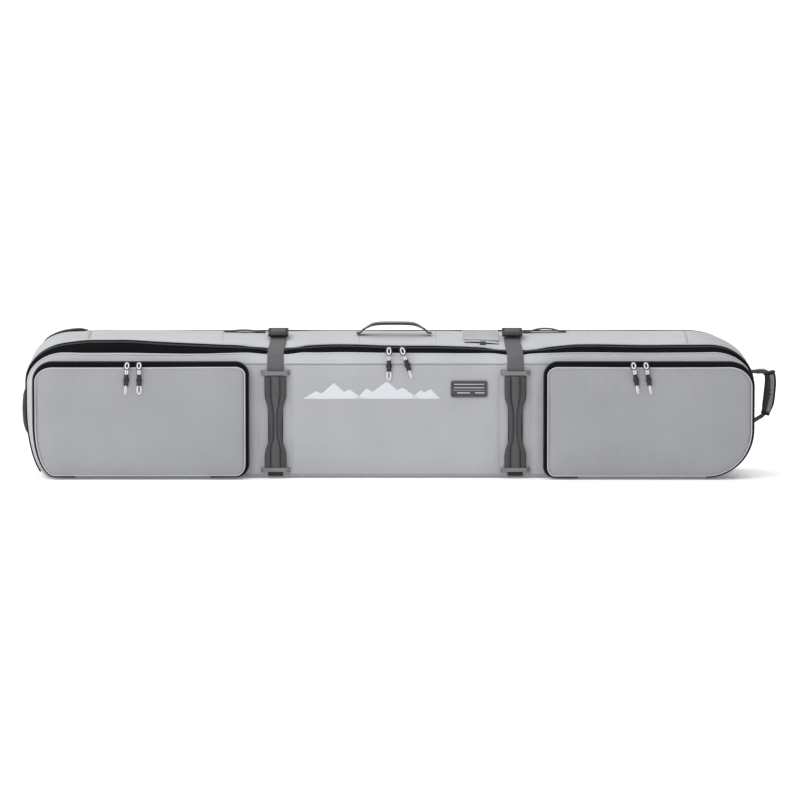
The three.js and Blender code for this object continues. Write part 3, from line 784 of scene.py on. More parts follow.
def add_back():
    left, right, bottom, top = -SEAM_X + 1, 826.0, 8.0, 321.0
    radii = ((112, 92), (4, 4), (4, 4), (106, 102))
    x, z = rounded_grid(left, right, bottom, top, radii, 190, 36)
    depth = edge_distance(x, z, left, right, bottom, top, radii)
    y = BACK_Y - 0.5 - rolled(depth, 5.0) * 0.9
    sheet = np.stack([x, y, z], -1)
    held = border(x.shape) | (depth < 4)
    for height in WHEEL_HEIGHTS.values():
        held |= (np.abs(z - height) < 9) & (x < 646)
    outer = puff(sheet, held, np.array([0.0, 1, 0]), 3.0, 3.5)
    inner = sheet - np.array([0, 5.5, 0])
    points, faces, which = slab(outer, inner)
    back = add_piece("back_fabric", points, faces, [SHELL, LINING], "root", "shell_fabric",
        ["back_panel"], which)

    left, right, bottom, top = -SEAM_X + 12, 806.0, 24.0, 304.0
    radii = ((98, 84), (8, 8), (8, 8), (92, 90))
    x, z = rounded_grid(left, right, bottom, top, radii, 150, 30)
    depth = edge_distance(x, z, left, right, bottom, top, radii)
    channels = np.abs((x + 700) % 120 - 60) < 5
    sheet = np.stack([x, 92.4 - 0 * x, z], -1)
    front = sheet - np.array([0, 3.6, 0]) + np.stack([0 * x, rolled(depth, 3.0), 0 * x], -1)
    front = puff(front, border(x.shape) | channels, FRONT, 3.0, 3.0)
    points, faces, which = slab(front, sheet)
    pad = add_piece("back_lining_pad", points, faces, [LINING, LINING], "root", "padding", ["back_pad"],
        which)


add_back()

# ---- the main zip ----


def add_main_zip(name, side, body, node):
    """One half of the zip: its tape, the row of teeth and the folded edge of cloth beside it."""
    index = RUNS["all"]
    zipped = on_zip("all")
    first = int(np.flatnonzero(zipped & ~np.roll(zipped, 1))[0])
    order = np.roll(index, -first)[: int(zipped.sum())]
    xs = ring(ZIP_Y)[0][:, 0]
    half = zip_half_width(xs)
    rows = [0.06, 0.12, 0.3, 0.55, 0.8, 1.0]
    outer, normals = shell_points([ZIP_Y + side * np.maximum(half * t, 0.3) for t in rows], "all", 0.0)
    outer, normals = outer[:, order], normals[:, order]
    arch = np.array([1.5, 0.7, 0.1, -0.2, -0.1, 0.0])[:, None, None]
    outer = outer + normals * arch
    points, faces, _ = slab(outer, outer - normals * 1.2)
    cross = np.repeat(np.array(rows)[:, None] * 13, len(order), 1)
    along = np.broadcast_to(np.arange(len(order)) * 8.0, cross.shape)
    uv = np.stack([cross, along], -1).reshape(-1, 2)
    add_piece(name + "_tape", points, faces, TAPE, body, "zip_tape", [node], uv=np.concatenate([uv, uv]))

    line, normals = shell_points([ZIP_Y + side * 1.25], "all", 1.5)
    line, normals = line[0][order], normals[0][order]
    fine = resample(line, 1.6)
    tooth = 1.0 + 0.28 * np.cos(np.arange(len(fine)) * np.pi)
    add_piece(name + "_teeth", *tube(fine, 1.35, 6, taper=tooth), COIL, body, "zip_tape")

    # The folded edge is a tube in the lighter lip fabric: painted highlight along the fold.
    edge, _ = shell_points([ZIP_Y + side * (half + 0.4)], "all", 0.2)
    add_piece(name + "_lip", *tube(edge[0][order], 1.7, 8), LIP_HIGHLIGHT_AND_PALE_TRIM, body, "shell_fabric")
    sewn, _ = shell_points([ZIP_Y + side * (half + 4.2)], "all", 0.15 if side > 0 else 0.0)
    return sewn[0][order]


rear_seam = add_main_zip("rear_zip", 1, "root", "rear_zip_tape")
add_main_zip("front_zip", -1, "lid", "front_zip_tape")
add_stitches("rear_zip_stitches", [(rear_seam, UP)], "root")

# ---- the lid ----

STRIP_ROWS = [0, 0.05, 0.14, 0.3, 0.48, 0.66, 0.82, 0.93, 1]


def add_lid_strip():
    gap = np.where(on_zip("all"), zip_half_width(edge_x("all")) - 1.5, 0.4)
    depths = [ZIP_Y - gap - (ZIP_Y - gap - FRONT_Y) * t for t in STRIP_ROWS]
    outer, normals = shell_points(depths, "all")
    across = unit(np.gradient(outer, axis=0))
    around = unit(np.roll(outer, -1, axis=1) - np.roll(outer, 1, axis=1))
    facing = unit(np.cross(around, across))
    facing = facing * np.sign((facing * (normals + FRONT * 0.5)).sum(-1, keepdims=True))
    drop = np.array([1.4, 0.4] + [0] * (len(STRIP_ROWS) - 4) + [0.4, 1.6])
    outer = outer - facing * drop[:, None, None]
    inner = outer - normals * INNER * 0.85 - FRONT * np.linspace(0, 5.5, len(STRIP_ROWS))[:, None, None]
    points, faces, which = slab(outer, inner, wrap=True)
    which = np.array(which)
    # The shoulder strip is drawn in the lighter top fabric all round: painted highlight of light from above.
    return add_piece("lid_strip", points, faces, [TOP_PAINTED_HIGHLIGHT, LINING], "lid", "top_fabric", ["lid_gusset"], which)


add_lid_strip()

LID_FRONT = (-833.0, 847.0, 7.0, 267.0, ((91, 71), (89, 61), (51, 139), (111, 99)))


def add_front():
    left, right, bottom, top, radii = LID_FRONT
    x, z = rounded_grid(left, right, bottom, top, radii, 250, 38, fixed=(-690, 690))
    depth = edge_distance(x, z, left, right, bottom, top, radii)
    y = FRONT_Y - 0.3 + rolled(depth, 4.0) * 0.8
    held = depth < 3.0
    for strap in STRAP_X.values():
        for side in (-34.5, 34.5):
            held |= np.abs(x - strap - side) < 3.5
        held |= np.abs(x - strap) < 24
    held |= (x < -330) | (x > 366)
    sheet = np.stack([x, y, z], -1)
    outer = puff(sheet, held, FRONT, 3.2, 5.0, slack=0.004)
    wander = bumps(np.stack([x, 0 * x, z * 1.6], -1), 90.0, 5.0) * 0.8 * ease(depth / 30) * ~held
    outer[..., 1] += wander
    groove = np.zeros(x.shape)
    for strap in STRAP_X.values():
        for side in (-34.5, 34.5):
            groove += 1.1 * np.exp(-((x - strap - side) / 2.6) ** 2)
    outer[..., 1] += groove
    inner = np.stack([x, np.full(x.shape, FRONT_Y + 5.8), z], -1)
    points, faces, which = slab(outer, inner)
    panel = add_piece("front_fabric", points, faces, [SHELL, LINING], "lid", "shell_fabric",
        ["front_panel"], which)
    return x, z, outer[..., 1]


front_x, front_z, front_y = add_front()


def front_depth(px, pz):
    """The depth of the front fabric at a point on it."""
    row = np.array([np.interp(px, front_x[i], front_y[i]) for i in range(len(front_x))])
    return float(np.interp(pz, front_z[:, 0], row))


def front_border():
    left, right, bottom, top, radii = LID_FRONT
    ring_line = rounded_ring(left + 1, right - 1, bottom + 1, top - 1, radii)
    path = np.stack([ring_line[:, 0], np.full(len(ring_line), FRONT_Y + 1.6), ring_line[:, 1]], 1)
    add_piece("front_seam_cord", *tube(path, 1.5, 6, closed=True), BINDING, "lid", "shell_fabric")


def rounded_ring(left, right, bottom, top, radii, step=7.0):
    """The outline of a rounded rectangle, from the top right round to the left."""
    tr, tl, bl, br = radii
    out = []
    centres = ((right - tr[0], top - tr[1], tr), (left + tl[0], top - tl[1], tl),
        (left + bl[0], bottom + bl[1], bl), (right - br[0], bottom + br[1], br))
    for q, (cx, cz, r) in enumerate(centres):
        for a in np.linspace(q, q + 1, 17) * np.pi / 2:
            out.append((cx + r[0] * np.cos(a), cz + r[1] * np.sin(a)))
    out.append(out[0])
    out = np.array(out)
    gaps = np.linalg.norm(np.diff(out, axis=0), axis=1)
    along = np.concatenate([[0], np.cumsum(gaps)])
    count = int(along[-1] / step)
    at = np.linspace(0, along[-1], count, endpoint=False)
    return np.stack([np.interp(at, along, out[:, k]) for k in range(2)], 1)


front_border()
seams = []
for strap in STRAP_X.values():
    for side in (-38.5, 38.5):
        zs = np.linspace(12, 262, 60)
        seams.append((np.array([(strap + side, front_depth(strap + side, h) - 0.1, h) for h in zs]), FRONT))
add_stitches("front_panel_stitches", seams, "lid")

# ---- gear pockets ----

POCKETS = {
    "left": {"box": (-829, -328, 6, 274), "radii": ((30, 30), (45, 45), (50, 120), (30, 30)),
    "hinge": (-732, -423),
             "face": (5.5, 8, 13, 4), "rise": [(-900, 0), (-640, 0), (-560, 0.3), (-440, 1.2), (-300, 1.6)]},
    "right": {"box": (362, 850, 5, 274), "radii": ((58, 58), (32, 32), (24, 24), (110, 110)),
    "hinge": (446, 740),
              "face": (8.5, 5.5, 13, 4),
              "rise": [(300, 1.4), (420, 1.0), (500, 0.6), (620, 0), (740, 0.3), (800, 0.9), (900, 1.5)]},
}
RING_STEPS = {"corner": 14, "long": 64, "short": 26}
RIM_Y, FACE_Y = -122.2, -137.0


def pocket_ring(pocket, inset):
    """The pocket's outline, drawn in by insets from left, right, top and bottom, and its normals."""
    left, right, bottom, top = pocket["box"]
    il, ir, it, ib = inset
    left, right, top, bottom = left + il, right - ir, top - it, bottom + ib
    tr, tl, bl, br = inset_radii(pocket, inset)
    centres = [(right - tr[0], top - tr[1], tr), (left + tl[0], top - tl[1], tl),
        (left + bl[0], bottom + bl[1], bl), (right - br[0], bottom + br[1], br)]
    points, normals = [], []
    for q, (cx, cz, r) in enumerate(centres):
        for a in np.linspace(q, q + 1, RING_STEPS["corner"] + 1) * np.pi / 2:
            points.append((cx + r[0] * np.cos(a), cz + r[1] * np.sin(a)))
            normals.append(tuple(unit(np.array([np.cos(a) / r[0], np.sin(a) / r[1]]))))
        nx, nz, nr = centres[(q + 1) % 4]
        start, end = points[-1], (nx + nr[0] * np.cos(a), nz + nr[1] * np.sin(a))
        count = RING_STEPS["long" if q in (0, 2) else "short"]
        for t in np.linspace(0, 1, count + 1)[1:-1]:
            points.append((start[0] + (end[0] - start[0]) * t, start[1] + (end[1] - start[1]) * t))
            normals.append(normals[-1])
    return np.array(points), np.array(normals)


def inset_radii(pocket, inset):
    il, ir, it, ib = inset
    sides = zip(pocket["radii"], (ir, il, il, ir), (it, it, ib, ib))
    return [(max(4.0, r[0] - a), max(4.0, r[1] - b)) for r, a, b in sides]


def zip_rise(pocket, x, z, share=1.0):
    """How far the top of the face rides up where the zip band gets narrower."""
    top = pocket["box"][3]
    return curve_through(pocket["rise"])(x) * share * ease((z - (top - 75)) / 60)


def ring_3d(pocket, depth, inset, out=0.0):
    p, n = pocket_ring(pocket, inset if hasattr(inset, "__len__") else (inset,) * 4)
    p = p + n * out
    share = (inset[2] if hasattr(inset, "__len__") else 0.0) / pocket["face"][2]
    height = p[:, 1] + zip_rise(pocket, p[:, 0], p[:, 1], share)
    return np.stack([p[:, 0], np.full(len(p), float(depth)), height],
        1), np.stack([n[:, 0], 0 * n[:, 0], n[:, 1]], 1)


def zip_run(pocket):
    """The indices of the outline where the pocket's zip runs, in order, starting and ending at its hinge."""
    p, _ = pocket_ring(pocket, (0,) * 4)
    low, high = pocket["hinge"]
    sewn = (p[:, 0] > low) & (p[:, 0] < high) & (p[:, 1] < 30)
    start = int(np.flatnonzero(sewn)[-1])
    order = np.roll(np.arange(len(p)), -start - 1)
    return order[: int((~sewn).sum())], sewn


def add_gusset(side, pocket):
    name = side + "_pocket"
    levels = [(-100.2, 7.0), (-102.5, 5.2), (-106.5, 2.6), (-111, 0.9), (-116, 0.2), (-121.0, 0.3),
        (-122.0, 1.2)]
    outer = np.stack([ring_3d(pocket, y, inset)[0] for y, inset in levels])
    normals = ring_3d(pocket, 0, 0)[1]
    soft = 0.7 * bumps(outer, 45.0, 2.0)[..., None] * np.array([0, 0.5, 1, 1, 0.6, 0, 0])[:, None, None]
    outer = outer + normals[None] * soft
    inner = outer - normals[None] * 4.2
    points, faces, which = slab(outer, inner, wrap=True)
    # The pocket wall is drawn in the darker pocket fabric: painted shade.
    add_piece(name + "_wall", points, faces, [POCKET_PAINTED_SHADE, LINING], "lid", "shell_fabric", [name + "_gusset"],
        which)
    order, _ = zip_run(pocket)
    rows = [(-114.0, 0.0, 0.2), (-114.6, 0.0, 1.0), (-117, 0.0, 1.2), (-120, 0.0, 1.3), (-121.6, 0.0, 1.2)]
    tape = np.stack([ring_3d(pocket, y, i, out)[0][order] for y, i, out in rows])
    points, faces, _ = slab(tape, tape - normals[order] * 1.0)
    add_piece(name + "_lower_tape", points, faces, TAPE, "lid", "zip_tape", uv=tape_uv(tape, 8.0))
    line = ring_3d(pocket, -121.2, 0, 1.4)[0][order]
    add_piece(name + "_lower_teeth", *tooth_line(line), COIL, "lid", "zip_tape")
    # The rolled lip beside the pocket zip is in the lighter lip fabric: painted highlight along the edge.
    edge = ring_3d(pocket, -113.6, 0, 0.6)[0][order]
    add_piece(name + "_lower_lip", *tube(edge, 1.3, 8), LIP_HIGHLIGHT_AND_PALE_TRIM, "lid", "shell_fabric")
    foot, _ = ring_3d(pocket, -100.9, 7.6, 0)
    foot = np.append(foot, foot[:1], 0)
    add_piece(name + "_foot_cord", *tube(foot, 1.2, 6), BINDING, "lid", "shell_fabric")


def tape_uv(tape, width):
    rows, count = tape.shape[:2]
    across = np.broadcast_to(np.linspace(0, width, rows)[:, None], (rows, count))
    gaps = np.linalg.norm(np.diff(tape[0], axis=0), axis=1)
    along = np.broadcast_to(np.concatenate([[0], np.cumsum(gaps)]), (rows, count))
    uv = np.stack([across, along], -1).reshape(-1, 2)
    return np.concatenate([uv, uv])


def tooth_line(line, radius=1.3):
    fine = resample(line, 1.6)
    return tube(fine, radius, 6, taper=1.0 + 0.28 * np.cos(np.arange(len(fine)) * np.pi))


def add_flap(side, pocket):
    name = side + "_pocket"
    body = side + "_flap"
    order, sewn = zip_run(pocket)
    face = np.array(pocket["face"], float)
    levels = [(-122.5, 0.4 * np.ones(4)), (-123.4, np.zeros(4)), (-126.0, face * 0.22),
        (-129.0, face * 0.5), (-131.6, face * 0.8), (-133.2, face)]
    band = np.stack([ring_3d(pocket, y, inset)[0] for y, inset in levels])
    normals = ring_3d(pocket, 0, 0)[1]
    facing = unit(normals + FRONT * 1.2)
    tape = band[:, order] + facing[order] * 0.2
    points, faces, _ = slab(tape, tape - facing[order] * 1.3)
    add_piece(name + "_upper_tape", points, faces, TAPE, body, "zip_tape", uv=tape_uv(tape, 13.0))
    add_piece(name + "_upper_teeth", *tooth_line(ring_3d(pocket, -123.4, 0, 0.6)[0][order]), COIL, body,
        "zip_tape")
    rest = np.flatnonzero(sewn)
    rest = np.concatenate([[rest[0] - 1], rest, [(rest[-1] + 1) % len(normals)]])
    fold = band[:, rest]
    points, faces, _ = slab(fold, fold - facing[rest] * 3.0)
    # The hinge cloth is drawn in the darker pocket fabric: painted shade.
    add_piece(name + "_hinge_cloth", points, faces, POCKET_PAINTED_SHADE, body, "shell_fabric")

    left, right, bottom, top = pocket["box"]
    il, ir, it, ib = pocket["face"]
    left, right, top, bottom = left + il, right - ir, top - it, bottom + ib
    radii = inset_radii(pocket, pocket["face"])
    x, z = rounded_grid(left, right, bottom, top, radii, 84, 46)
    depth = edge_distance(x, z, left, right, bottom, top, radii)
    z = z + zip_rise(pocket, x, z)
    crown = 3.0 * ease(depth / 70)
    y = FACE_Y + 1.0 + rolled(depth, 5.0) * 0.7 - crown
    sheet = np.stack([x, y, z], -1)
    held = border(x.shape) | (depth < 3.5)
    outer = puff(sheet, held, FRONT, 3.6, 5.0, slack=0.003)
    ripple = bumps(np.stack([x * 0.8, 0 * x, z * 1.2], -1), 70.0, 9.0 if side == "left" else 4.0)
    outer[..., 1] += 0.7 * ripple * ease(depth / 25)
    fold_line = bottom + 9 + 2.2 * np.sin(x / 60)
    fold = np.exp(-((z - fold_line) / 2.4) ** 2)
    outer[..., 1] += 1.6 * fold * ease((x - left - 50) / 40) * ease((right - 60 - x) / 40)
    inner = np.stack([x, np.minimum(y + 5.0, RIM_Y - 4), z], -1)
    inner[..., 1] = np.maximum(inner[..., 1], outer[..., 1] + 2.0)
    points, faces, which = slab(outer, inner)
    # The pocket face is drawn in the darker pocket fabric: painted shade.
    cover_piece = add_piece(name + "_face", points, faces, [POCKET_PAINTED_SHADE, LINING], body, "shell_fabric",
        [name + "_flap"], which)
    # The face's rolled edge is in the lighter lip fabric: painted highlight round the face.
    lip = ring_3d(pocket, -134.2, tuple(face - 0.2))[0]
    lip = np.append(lip, lip[:1], 0)
    add_piece(name + "_face_lip", *tube(lip, 1.45, 8), LIP_HIGHLIGHT_AND_PALE_TRIM, body, "shell_fabric")
    sewn_line = ring_3d(pocket, -136.6, tuple(face + 5.5))[0]
    on_face = [(px, face_depth(x, z, outer, px, pz) - 0.05, pz) for px, _, pz in sewn_line]
    add_stitches(name + "_stitches", [(np.array(on_face), FRONT)], body)


def face_depth(x, z, outer, px, pz):
    row = [np.interp(px, x[i], outer[i, :, 1]) for i in range(len(x))]
    return float(np.interp(pz, z[:, 0], row))


for side, pocket in POCKETS.items():
    add_gusset(side, pocket)
    add_flap(side, pocket)

# ---- straps, grips and buckles ----


def ribbon(path, across, width, thickness=2.4, taper=None):
    points, faces, uv = sweep(path, across, strap_profile(width, thickness), taper=taper)
    return points, faces, uv


def add_ribbon(name, path, across, width, material, body, replaces=(), thickness=2.4, slot="webbing"):
    points, faces, uv = ribbon(path, across, width, thickness)
    return add_piece(name, points, faces, material, body, slot, replaces, uv=uv)


EAST = np.array([1.0, 0, 0])


def top_height(x, y):
    """The height of the bag's top at a point, with its dips under the straps."""
    top = shell_values(y)[3]
    lift = float(zip_lift(x))
    fade = float(ease((y - FRONT_Y) / 16)) if y < ZIP_Y else 0.22 + 0.78 * math.exp(-((y - ZIP_Y) / 55) ** 2)
    return float(top) + lift * fade


def add_strap(side):
    x = STRAP_X[side]
    front = FRONT_Y - 2.6
    tail = np.array([(x, front, h) for h in np.linspace(5, 252, 40)])
    add_ribbon(side + "_strap_lower", tail, EAST, STRAP_WIDTH - 3, TAIL, "lid", [side + "_strap_tail"])
    over = [(x, front - 1.4, 238), (x, front - 1.5, 250), (x, front - 1.2, 262)]
    over += [(x, y, top_height(x, y) + 4.2) for y in (-96, -91, -85, -78, -68, -56, -44)]
    over += [(x, y, top_height(x, y) + 3.4) for y in (-34, -26, -18)] + [(x, -13, top_height(x, -13) + 5.0)]
    path = spline(over, 4.0)
    path[:, 0] += STRAP_LEAN[side] * ease((path[:, 1] + 100) / 70)
    strap = add_ribbon(side + "_strap_upper", path, EAST, STRAP_WIDTH, STRAP, None, [side + "_strap"])
    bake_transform(strap)
    add_grip(side, x, front)
    for level, height in (("upper", 246.5), ("lower", 20.0)):
        add_keeper(side, level, x, height)
    add_buckle(side, x + STRAP_LEAN[side])
    tab = spline([(x, 8, 330.5), (x, 14, 330.3), (x, 22, top_height(x, 22) + 2.6),
        (x, 40, top_height(x, 40) + 2.0), (x, 60, top_height(x, 60) + 1.7)], 4.0)
    add_ribbon(side + "_anchor", tab, EAST, STRAP_WIDTH - 2, STRAP, "root", [side + "_anchor_tab"])
    box = []
    for y in (30, 54):
        box.append((np.array([(x + dx, y, top_height(x, y) + 3.3) for dx in np.linspace(-15, 15, 20)]), UP))
    for dx in (-15, 15):
        box.append((np.array([(x + dx, y, top_height(x, y) + 3.3) for y in np.linspace(30, 54, 16)]), UP))
    add_stitches(side + "_anchor_stitches", box, "root", DARK_THREAD, pitch=3.6, length=2.4)


STRAP_LEAN = {"left": 5.0, "right": -6.0}

grip_wing = curve_through([
    (22, 24.8, 11.6), (50, 24.7, 11.6), (61, 23.6, 11.5), (74, 20.0, 10.6), (84, 16.4, 8.0),
    (95, 14.3, 5.0), (116, 14.2, 3.5),
    (138, 15.0, 3.4), (155, 15.9, 4.3), (171, 18.4, 7.2), (180, 21.2, 8.9), (189, 24.0, 10.1),
    (200, 24.6, 10.6), (240, 24.8, 10.8),
])


def add_grip(side, x, front):
    """A padded carrying grip: a webbing core, and two rolled wings that draw in to a waist."""
    z = np.linspace(23, 240, 60)
    outer, inner = grip_wing(z).T
    rows = []
    for sign in (-1, 1):
        turn = np.linspace(0, 2 * np.pi, 14, endpoint=False)
        for_side = []
        for h, a, b in zip(z, outer, inner):
            mid, half = (a + b) / 2, (a - b) / 2 + 0.8
            ends = 1.0 - 0.55 * ease((abs(h - 131.5) - 100) / 9)
            depth = 4.2 * ends
            px = x + sign * mid + half * np.cos(turn) * (0.9 + 0.1 * ends)
            py = front - 5.3 - depth * np.sign(np.sin(turn)) * np.abs(np.sin(turn)) ** 0.7
            for_side.append(np.stack([px, py, np.full(len(turn), h)], 1))
        grid = np.array(for_side)
        faces = grid_quads(len(z), len(turn), True) + [tuple(range(len(turn))),
            tuple((len(z) - 1) * len(turn) + i for i in range(len(turn)))]
        rows.append((grid.reshape(-1, 3), faces))
    points, faces = join_parts(rows)
    wings = add_piece(side + "_grip_wings", points, faces, WRAP, "lid", "padding", [side + "_grip"])
    core = []
    for h, b in zip(z, inner):
        w = b + 1.0
        core.append([(x - w, front - 6.4, h), (x - w * 0.5, front - 7.6, h), (x, front - 7.9, h),
            (x + w * 0.5, front - 7.6, h), (x + w, front - 6.4, h),
                     (x + w, front - 4.4, h), (x, front - 4.0, h), (x - w, front - 4.4, h)])
    core = np.array(core)
    faces = grid_quads(len(z), 8, True) + [tuple(range(8)), tuple((len(z) - 1) * 8 + i for i in range(8))]
    uv = np.stack([core[..., 0] - x, core[..., 2]], -1).reshape(-1, 2)
    add_piece(side + "_grip_core", core.reshape(-1, 3), faces, STRAP_DARK, "lid", "webbing", uv=uv)
    welts = []
    for sign in (-1, 1):
        for edge, depth in ((inner + 0.5, front - 8.1), (outer - 0.4, front - 6.4)):
            welts.append(tube(np.stack([x + sign * edge, np.full(len(z), depth), z], 1)[1:-1], 0.95, 6))
    points, faces = join_parts(welts)
    add_piece(side + "_grip_welts", points, faces, DARK_THREAD, "lid", "padding")
    seams = []
    for sign in (-1, 1):
        seams.append((np.stack([x + sign * (inner + 3.4), np.full(len(z), front - 9.0), z], 1)[2:-2], FRONT))
    add_stitches(side + "_grip_stitches", seams, "lid", DARK_THREAD, pitch=4.4, length=2.8, width=0.8)


def add_keeper(side, level, x, height):
    """A cross tape over the strap: flat where it is sewn down at its ends and raised over the grip."""
    sign = 1 if level == "upper" else -1
    xs = np.linspace(-34, 34, 41)
    raised = ease((31 - np.abs(xs)) / 6.0)
    lean = 1.0 * ease((np.abs(xs) - 20) / 12) * sign
    path = np.stack([x + xs, FRONT_Y - 1.6 - 9.6 * raised, height + lean], 1)
    flare = 1.0 + 0.32 * ease((np.abs(xs) - 20) / 12)
    points, faces, uv = sweep(path, UP, strap_profile(9.6, 2.2), taper=flare)
    piece = f"{side}_{level}_keeper"
    add_piece(piece + "_tape", points, faces, KEEPER, "lid", "webbing", [piece], uv=uv)
    ends = []
    for s in (-1, 1):
        for dz in (-3.4, 3.4):
            ends.append((np.array([(x + s * t, FRONT_Y - 3.2,
                height + dz + 1.8 * sign) for t in np.linspace(29, 34.5, 6)]), FRONT))
    add_stitches(piece + "_stitches", ends, "lid", DARK_THREAD, pitch=3.0, length=2.0, width=0.7)


def add_buckle(side, x):
    """A ladder-lock buckle: a frame with two cross bars, and the strap's end folded over the front one."""
    y, z, tilt = -6.0, 333.4, 0.30
    frame_parts = []
    for dx in (-21.3, 21.3):
        frame_parts.append(soft_box((x + dx, y, z), (5.0, 42.0, 6.4), 1.5))
    for dy, height, bar, tall in ((-18.0, 0.6, 6.4, 7.6), (-6.0, 2.2, 4.0, 4.6), (6.5, 0.4, 4.0, 4.6),
            (18.6, 0.4, 5.2, 6.0)):
        frame_parts.append(soft_box((x, y + dy, z + height), (42.0, bar, tall), 1.6))
    for dx in (-14, -7, 0, 7, 14):
        frame_parts.append(soft_box((x + dx, y - 20.9, z + 0.8), (1.5, 1.4, 5.4), 0.5))
    points, faces = join_parts(frame_parts)
    points = turned(points, tilt, "X", np.array([x, y, z]))
    add_piece(side + "_buckle_frame", points, faces, BUCKLE, side + "_upper_strap", "moulded_plastic",
        [side + "_buckle"])
    fold = [(x, y - 13.5, z - 4.2), (x, y - 12.0, z + 1.0), (x, y - 10.5, z + 5.2), (x, y - 6, z + 6.6),
        (x, y + 1.5, z + 5.6), (x, y + 8, z + 4.4),
            (x, y + 13.5, z + 3.6), (x, y + 15.0, z + 0.5), (x, y + 12, z - 3.0), (x, y + 4, z - 4.2)]
    path = turned(spline(fold, 2.0), tilt, "X", np.array([x, y, z]))
    add_ribbon(side + "_buckle_webbing", path, EAST, 36.0, STRAP_DARK, side + "_upper_strap", thickness=1.8)


for side in STRAP_X:
    add_strap(side)

# ---- zip sliders and pulls ----

PULLERS = {
    "main_left": dict(x=0, seat=(-81.0, 304.5, 0.62), ring_z=298, hang=-105.5, lean=0.0, edge=False),
    "main_right": dict(x=32, seat=(-81.0, 304.0, 0.62), ring_z=298, hang=-105.5, lean=0.33, edge=True),
    "left_pocket_left": dict(x=-609, seat=(-127.6, 270.5, 0.86), ring_z=267.5, hang=-144.0, lean=-0.06,
    edge=True),
    "left_pocket_right": dict(x=-581, seat=(-127.6, 270.5, 0.86), ring_z=267.5, hang=-144.0, lean=0.0,
    edge=False),
    "right_pocket_left": dict(x=569, seat=(-127.6, 270.5, 0.86), ring_z=267.5, hang=-144.0, lean=0.17,
    edge=True),
    "right_pocket_right": dict(x=598, seat=(-127.6, 270.5, 0.86), ring_z=267.5, hang=-144.0, lean=0.18,
    edge=True),
}
KNOT = [(0.0, 4.4), (1.5, 5.2), (4.5, 5.6), (6.5, 4.6), (9.5, 6.4), (13.5, 7.4), (17.0, 6.6), (19.0, 4.9),
    (22.0, 5.9), (25.0, 5.6), (26.5, 4.2)]


def add_puller(name, x, seat, ring_z, hang, lean, edge):
    y, z, tilt = seat
    pivot = np.array([x, y, z])
    body = name + "_slider_body"
    metal = [soft_box((x, y, z), (11.0, 10.0, 3.4), 1.2),
        soft_box((x, y - 1, z - 2.6), (8.0, 12.0, 1.4), 0.5)]
    bail = spline([(x, y + 3.4, z + 1.4), (x, y + 2.8, z + 4.2), (x, y - 1, z + 5.2),
        (x, y - 4.2, z + 3.6), (x, y - 4.6, z + 1.4)], 0.8)
    metal.append(tube(bail, 1.0, 8))
    metal.append(tube(bail + np.array([2.0, 0, 0]), 0.9, 8))
    metal.append(tube(bail - np.array([2.0, 0, 0]), 0.9, 8))
    points, faces = join_parts(metal)
    points = turned(points, tilt, "X", pivot)
    add_piece(name + "_slider_metal", points, faces, ENAMEL, body, "zip_metal", [name + "_slider"])

    def hung(points):
        """Leans the pull sideways about its ring."""
        return turned(points, -lean, "Y", np.array([x, hang, ring_z]))

    turn = np.linspace(0, 2 * np.pi, 24, endpoint=False)
    slope = (hang - (y - 5.0)) / 12.0
    tall = 7.4 if name.startswith("main") else 6.4
    ring_path = np.stack([x + 4.0 * np.cos(turn), hang - slope * tall * np.sin(turn) * 0.55,
        ring_z + tall * np.sin(turn)], 1)
    surround = np.stack([x + 6.2 * np.cos(turn), hang + 1.6 - slope * (tall + 2.0) * np.sin(turn) * 0.5,
        ring_z + (tall + 2.2) * np.sin(turn)], 1)
    pale = [tube(ring_path, 1.55, 8, closed=True)]
    dark = [tube(surround, 1.7, 8, closed=True)]
    top = ring_z - tall + 0.4
    for dx in (-2.1, 2.1):
        strand = spline([(x + dx * 0.5, hang - 1.6, top + 1.5), (x + dx, hang - 1.4, top - 3),
            (x + dx, hang - 0.6, top - 9), (x + dx * 0.8, hang - 0.2, top - 19)], 1.2)
        fine = len(strand)
        pale.append(tube(strand, 1.75, 8, taper=1 + 0.06 * np.cos(np.arange(fine) * 2.1)))
    knot_top = top - 14.5
    sides = 8
    knot = []
    for h, r in KNOT:
        a = np.linspace(0, 2 * np.pi, sides, endpoint=False) + np.pi / sides
        knot.append(np.stack([x + r * np.cos(a), hang - 0.2 + 0.62 * r * np.sin(a),
            np.full(sides, knot_top - h)], 1))
    knot = np.array(knot)
    faces = grid_quads(len(KNOT), sides, True) + [tuple(range(sides)),
        tuple((len(KNOT) - 1) * sides + i for i in range(sides))]
    dark.append((knot.reshape(-1, 3), faces))
    end = knot_top - 26.0
    width = 1.5 if edge else 4.4
    depth = 4.4 if edge else 1.0
    loop = []
    for a in np.linspace(0, 2 * np.pi, 28, endpoint=False):
        loop.append((x + width * np.sin(a), hang - 0.4 + (depth - 1.0) * np.sin(a) * 0.6,
            end - 9.0 + 10.2 * np.cos(a)))
    pale.append(tube(loop, 1.8, 8, closed=True))
    pull = name + "_pull_body"
    for label, parts, material, slot, nodes in (("_pull_cord", pale, CORD, "pull_cord", [name + "_pull"]),
            ("_pull_grip", dark, GRIPPER, "moulded_plastic", [])):
        points, faces = join_parts(parts)
        add_piece(name + label, hung(points), faces, material, pull, slot, nodes, flat=False)


for name, facts in PULLERS.items():
    add_puller(name, **facts)

# ---- handles and loops ----


def arch(origin, along, outward, span, flat, rise, start=0.0, step=3.0):
    """A webbing arch's centre line between two anchors."""
    half = span / 2
    side = [(-half - 9, -0.5), (-half, start), (-half * 0.9, rise * 0.42),
        (-flat / 2 - (half - flat / 2) * 0.35, rise * 0.88), (-flat / 2 + 6, rise)]
    route = side + [(0, rise * 1.02)] + [(-a, b) for a, b in side[::-1]]
    return spline([origin + along * a + outward * b for a, b in route], step)


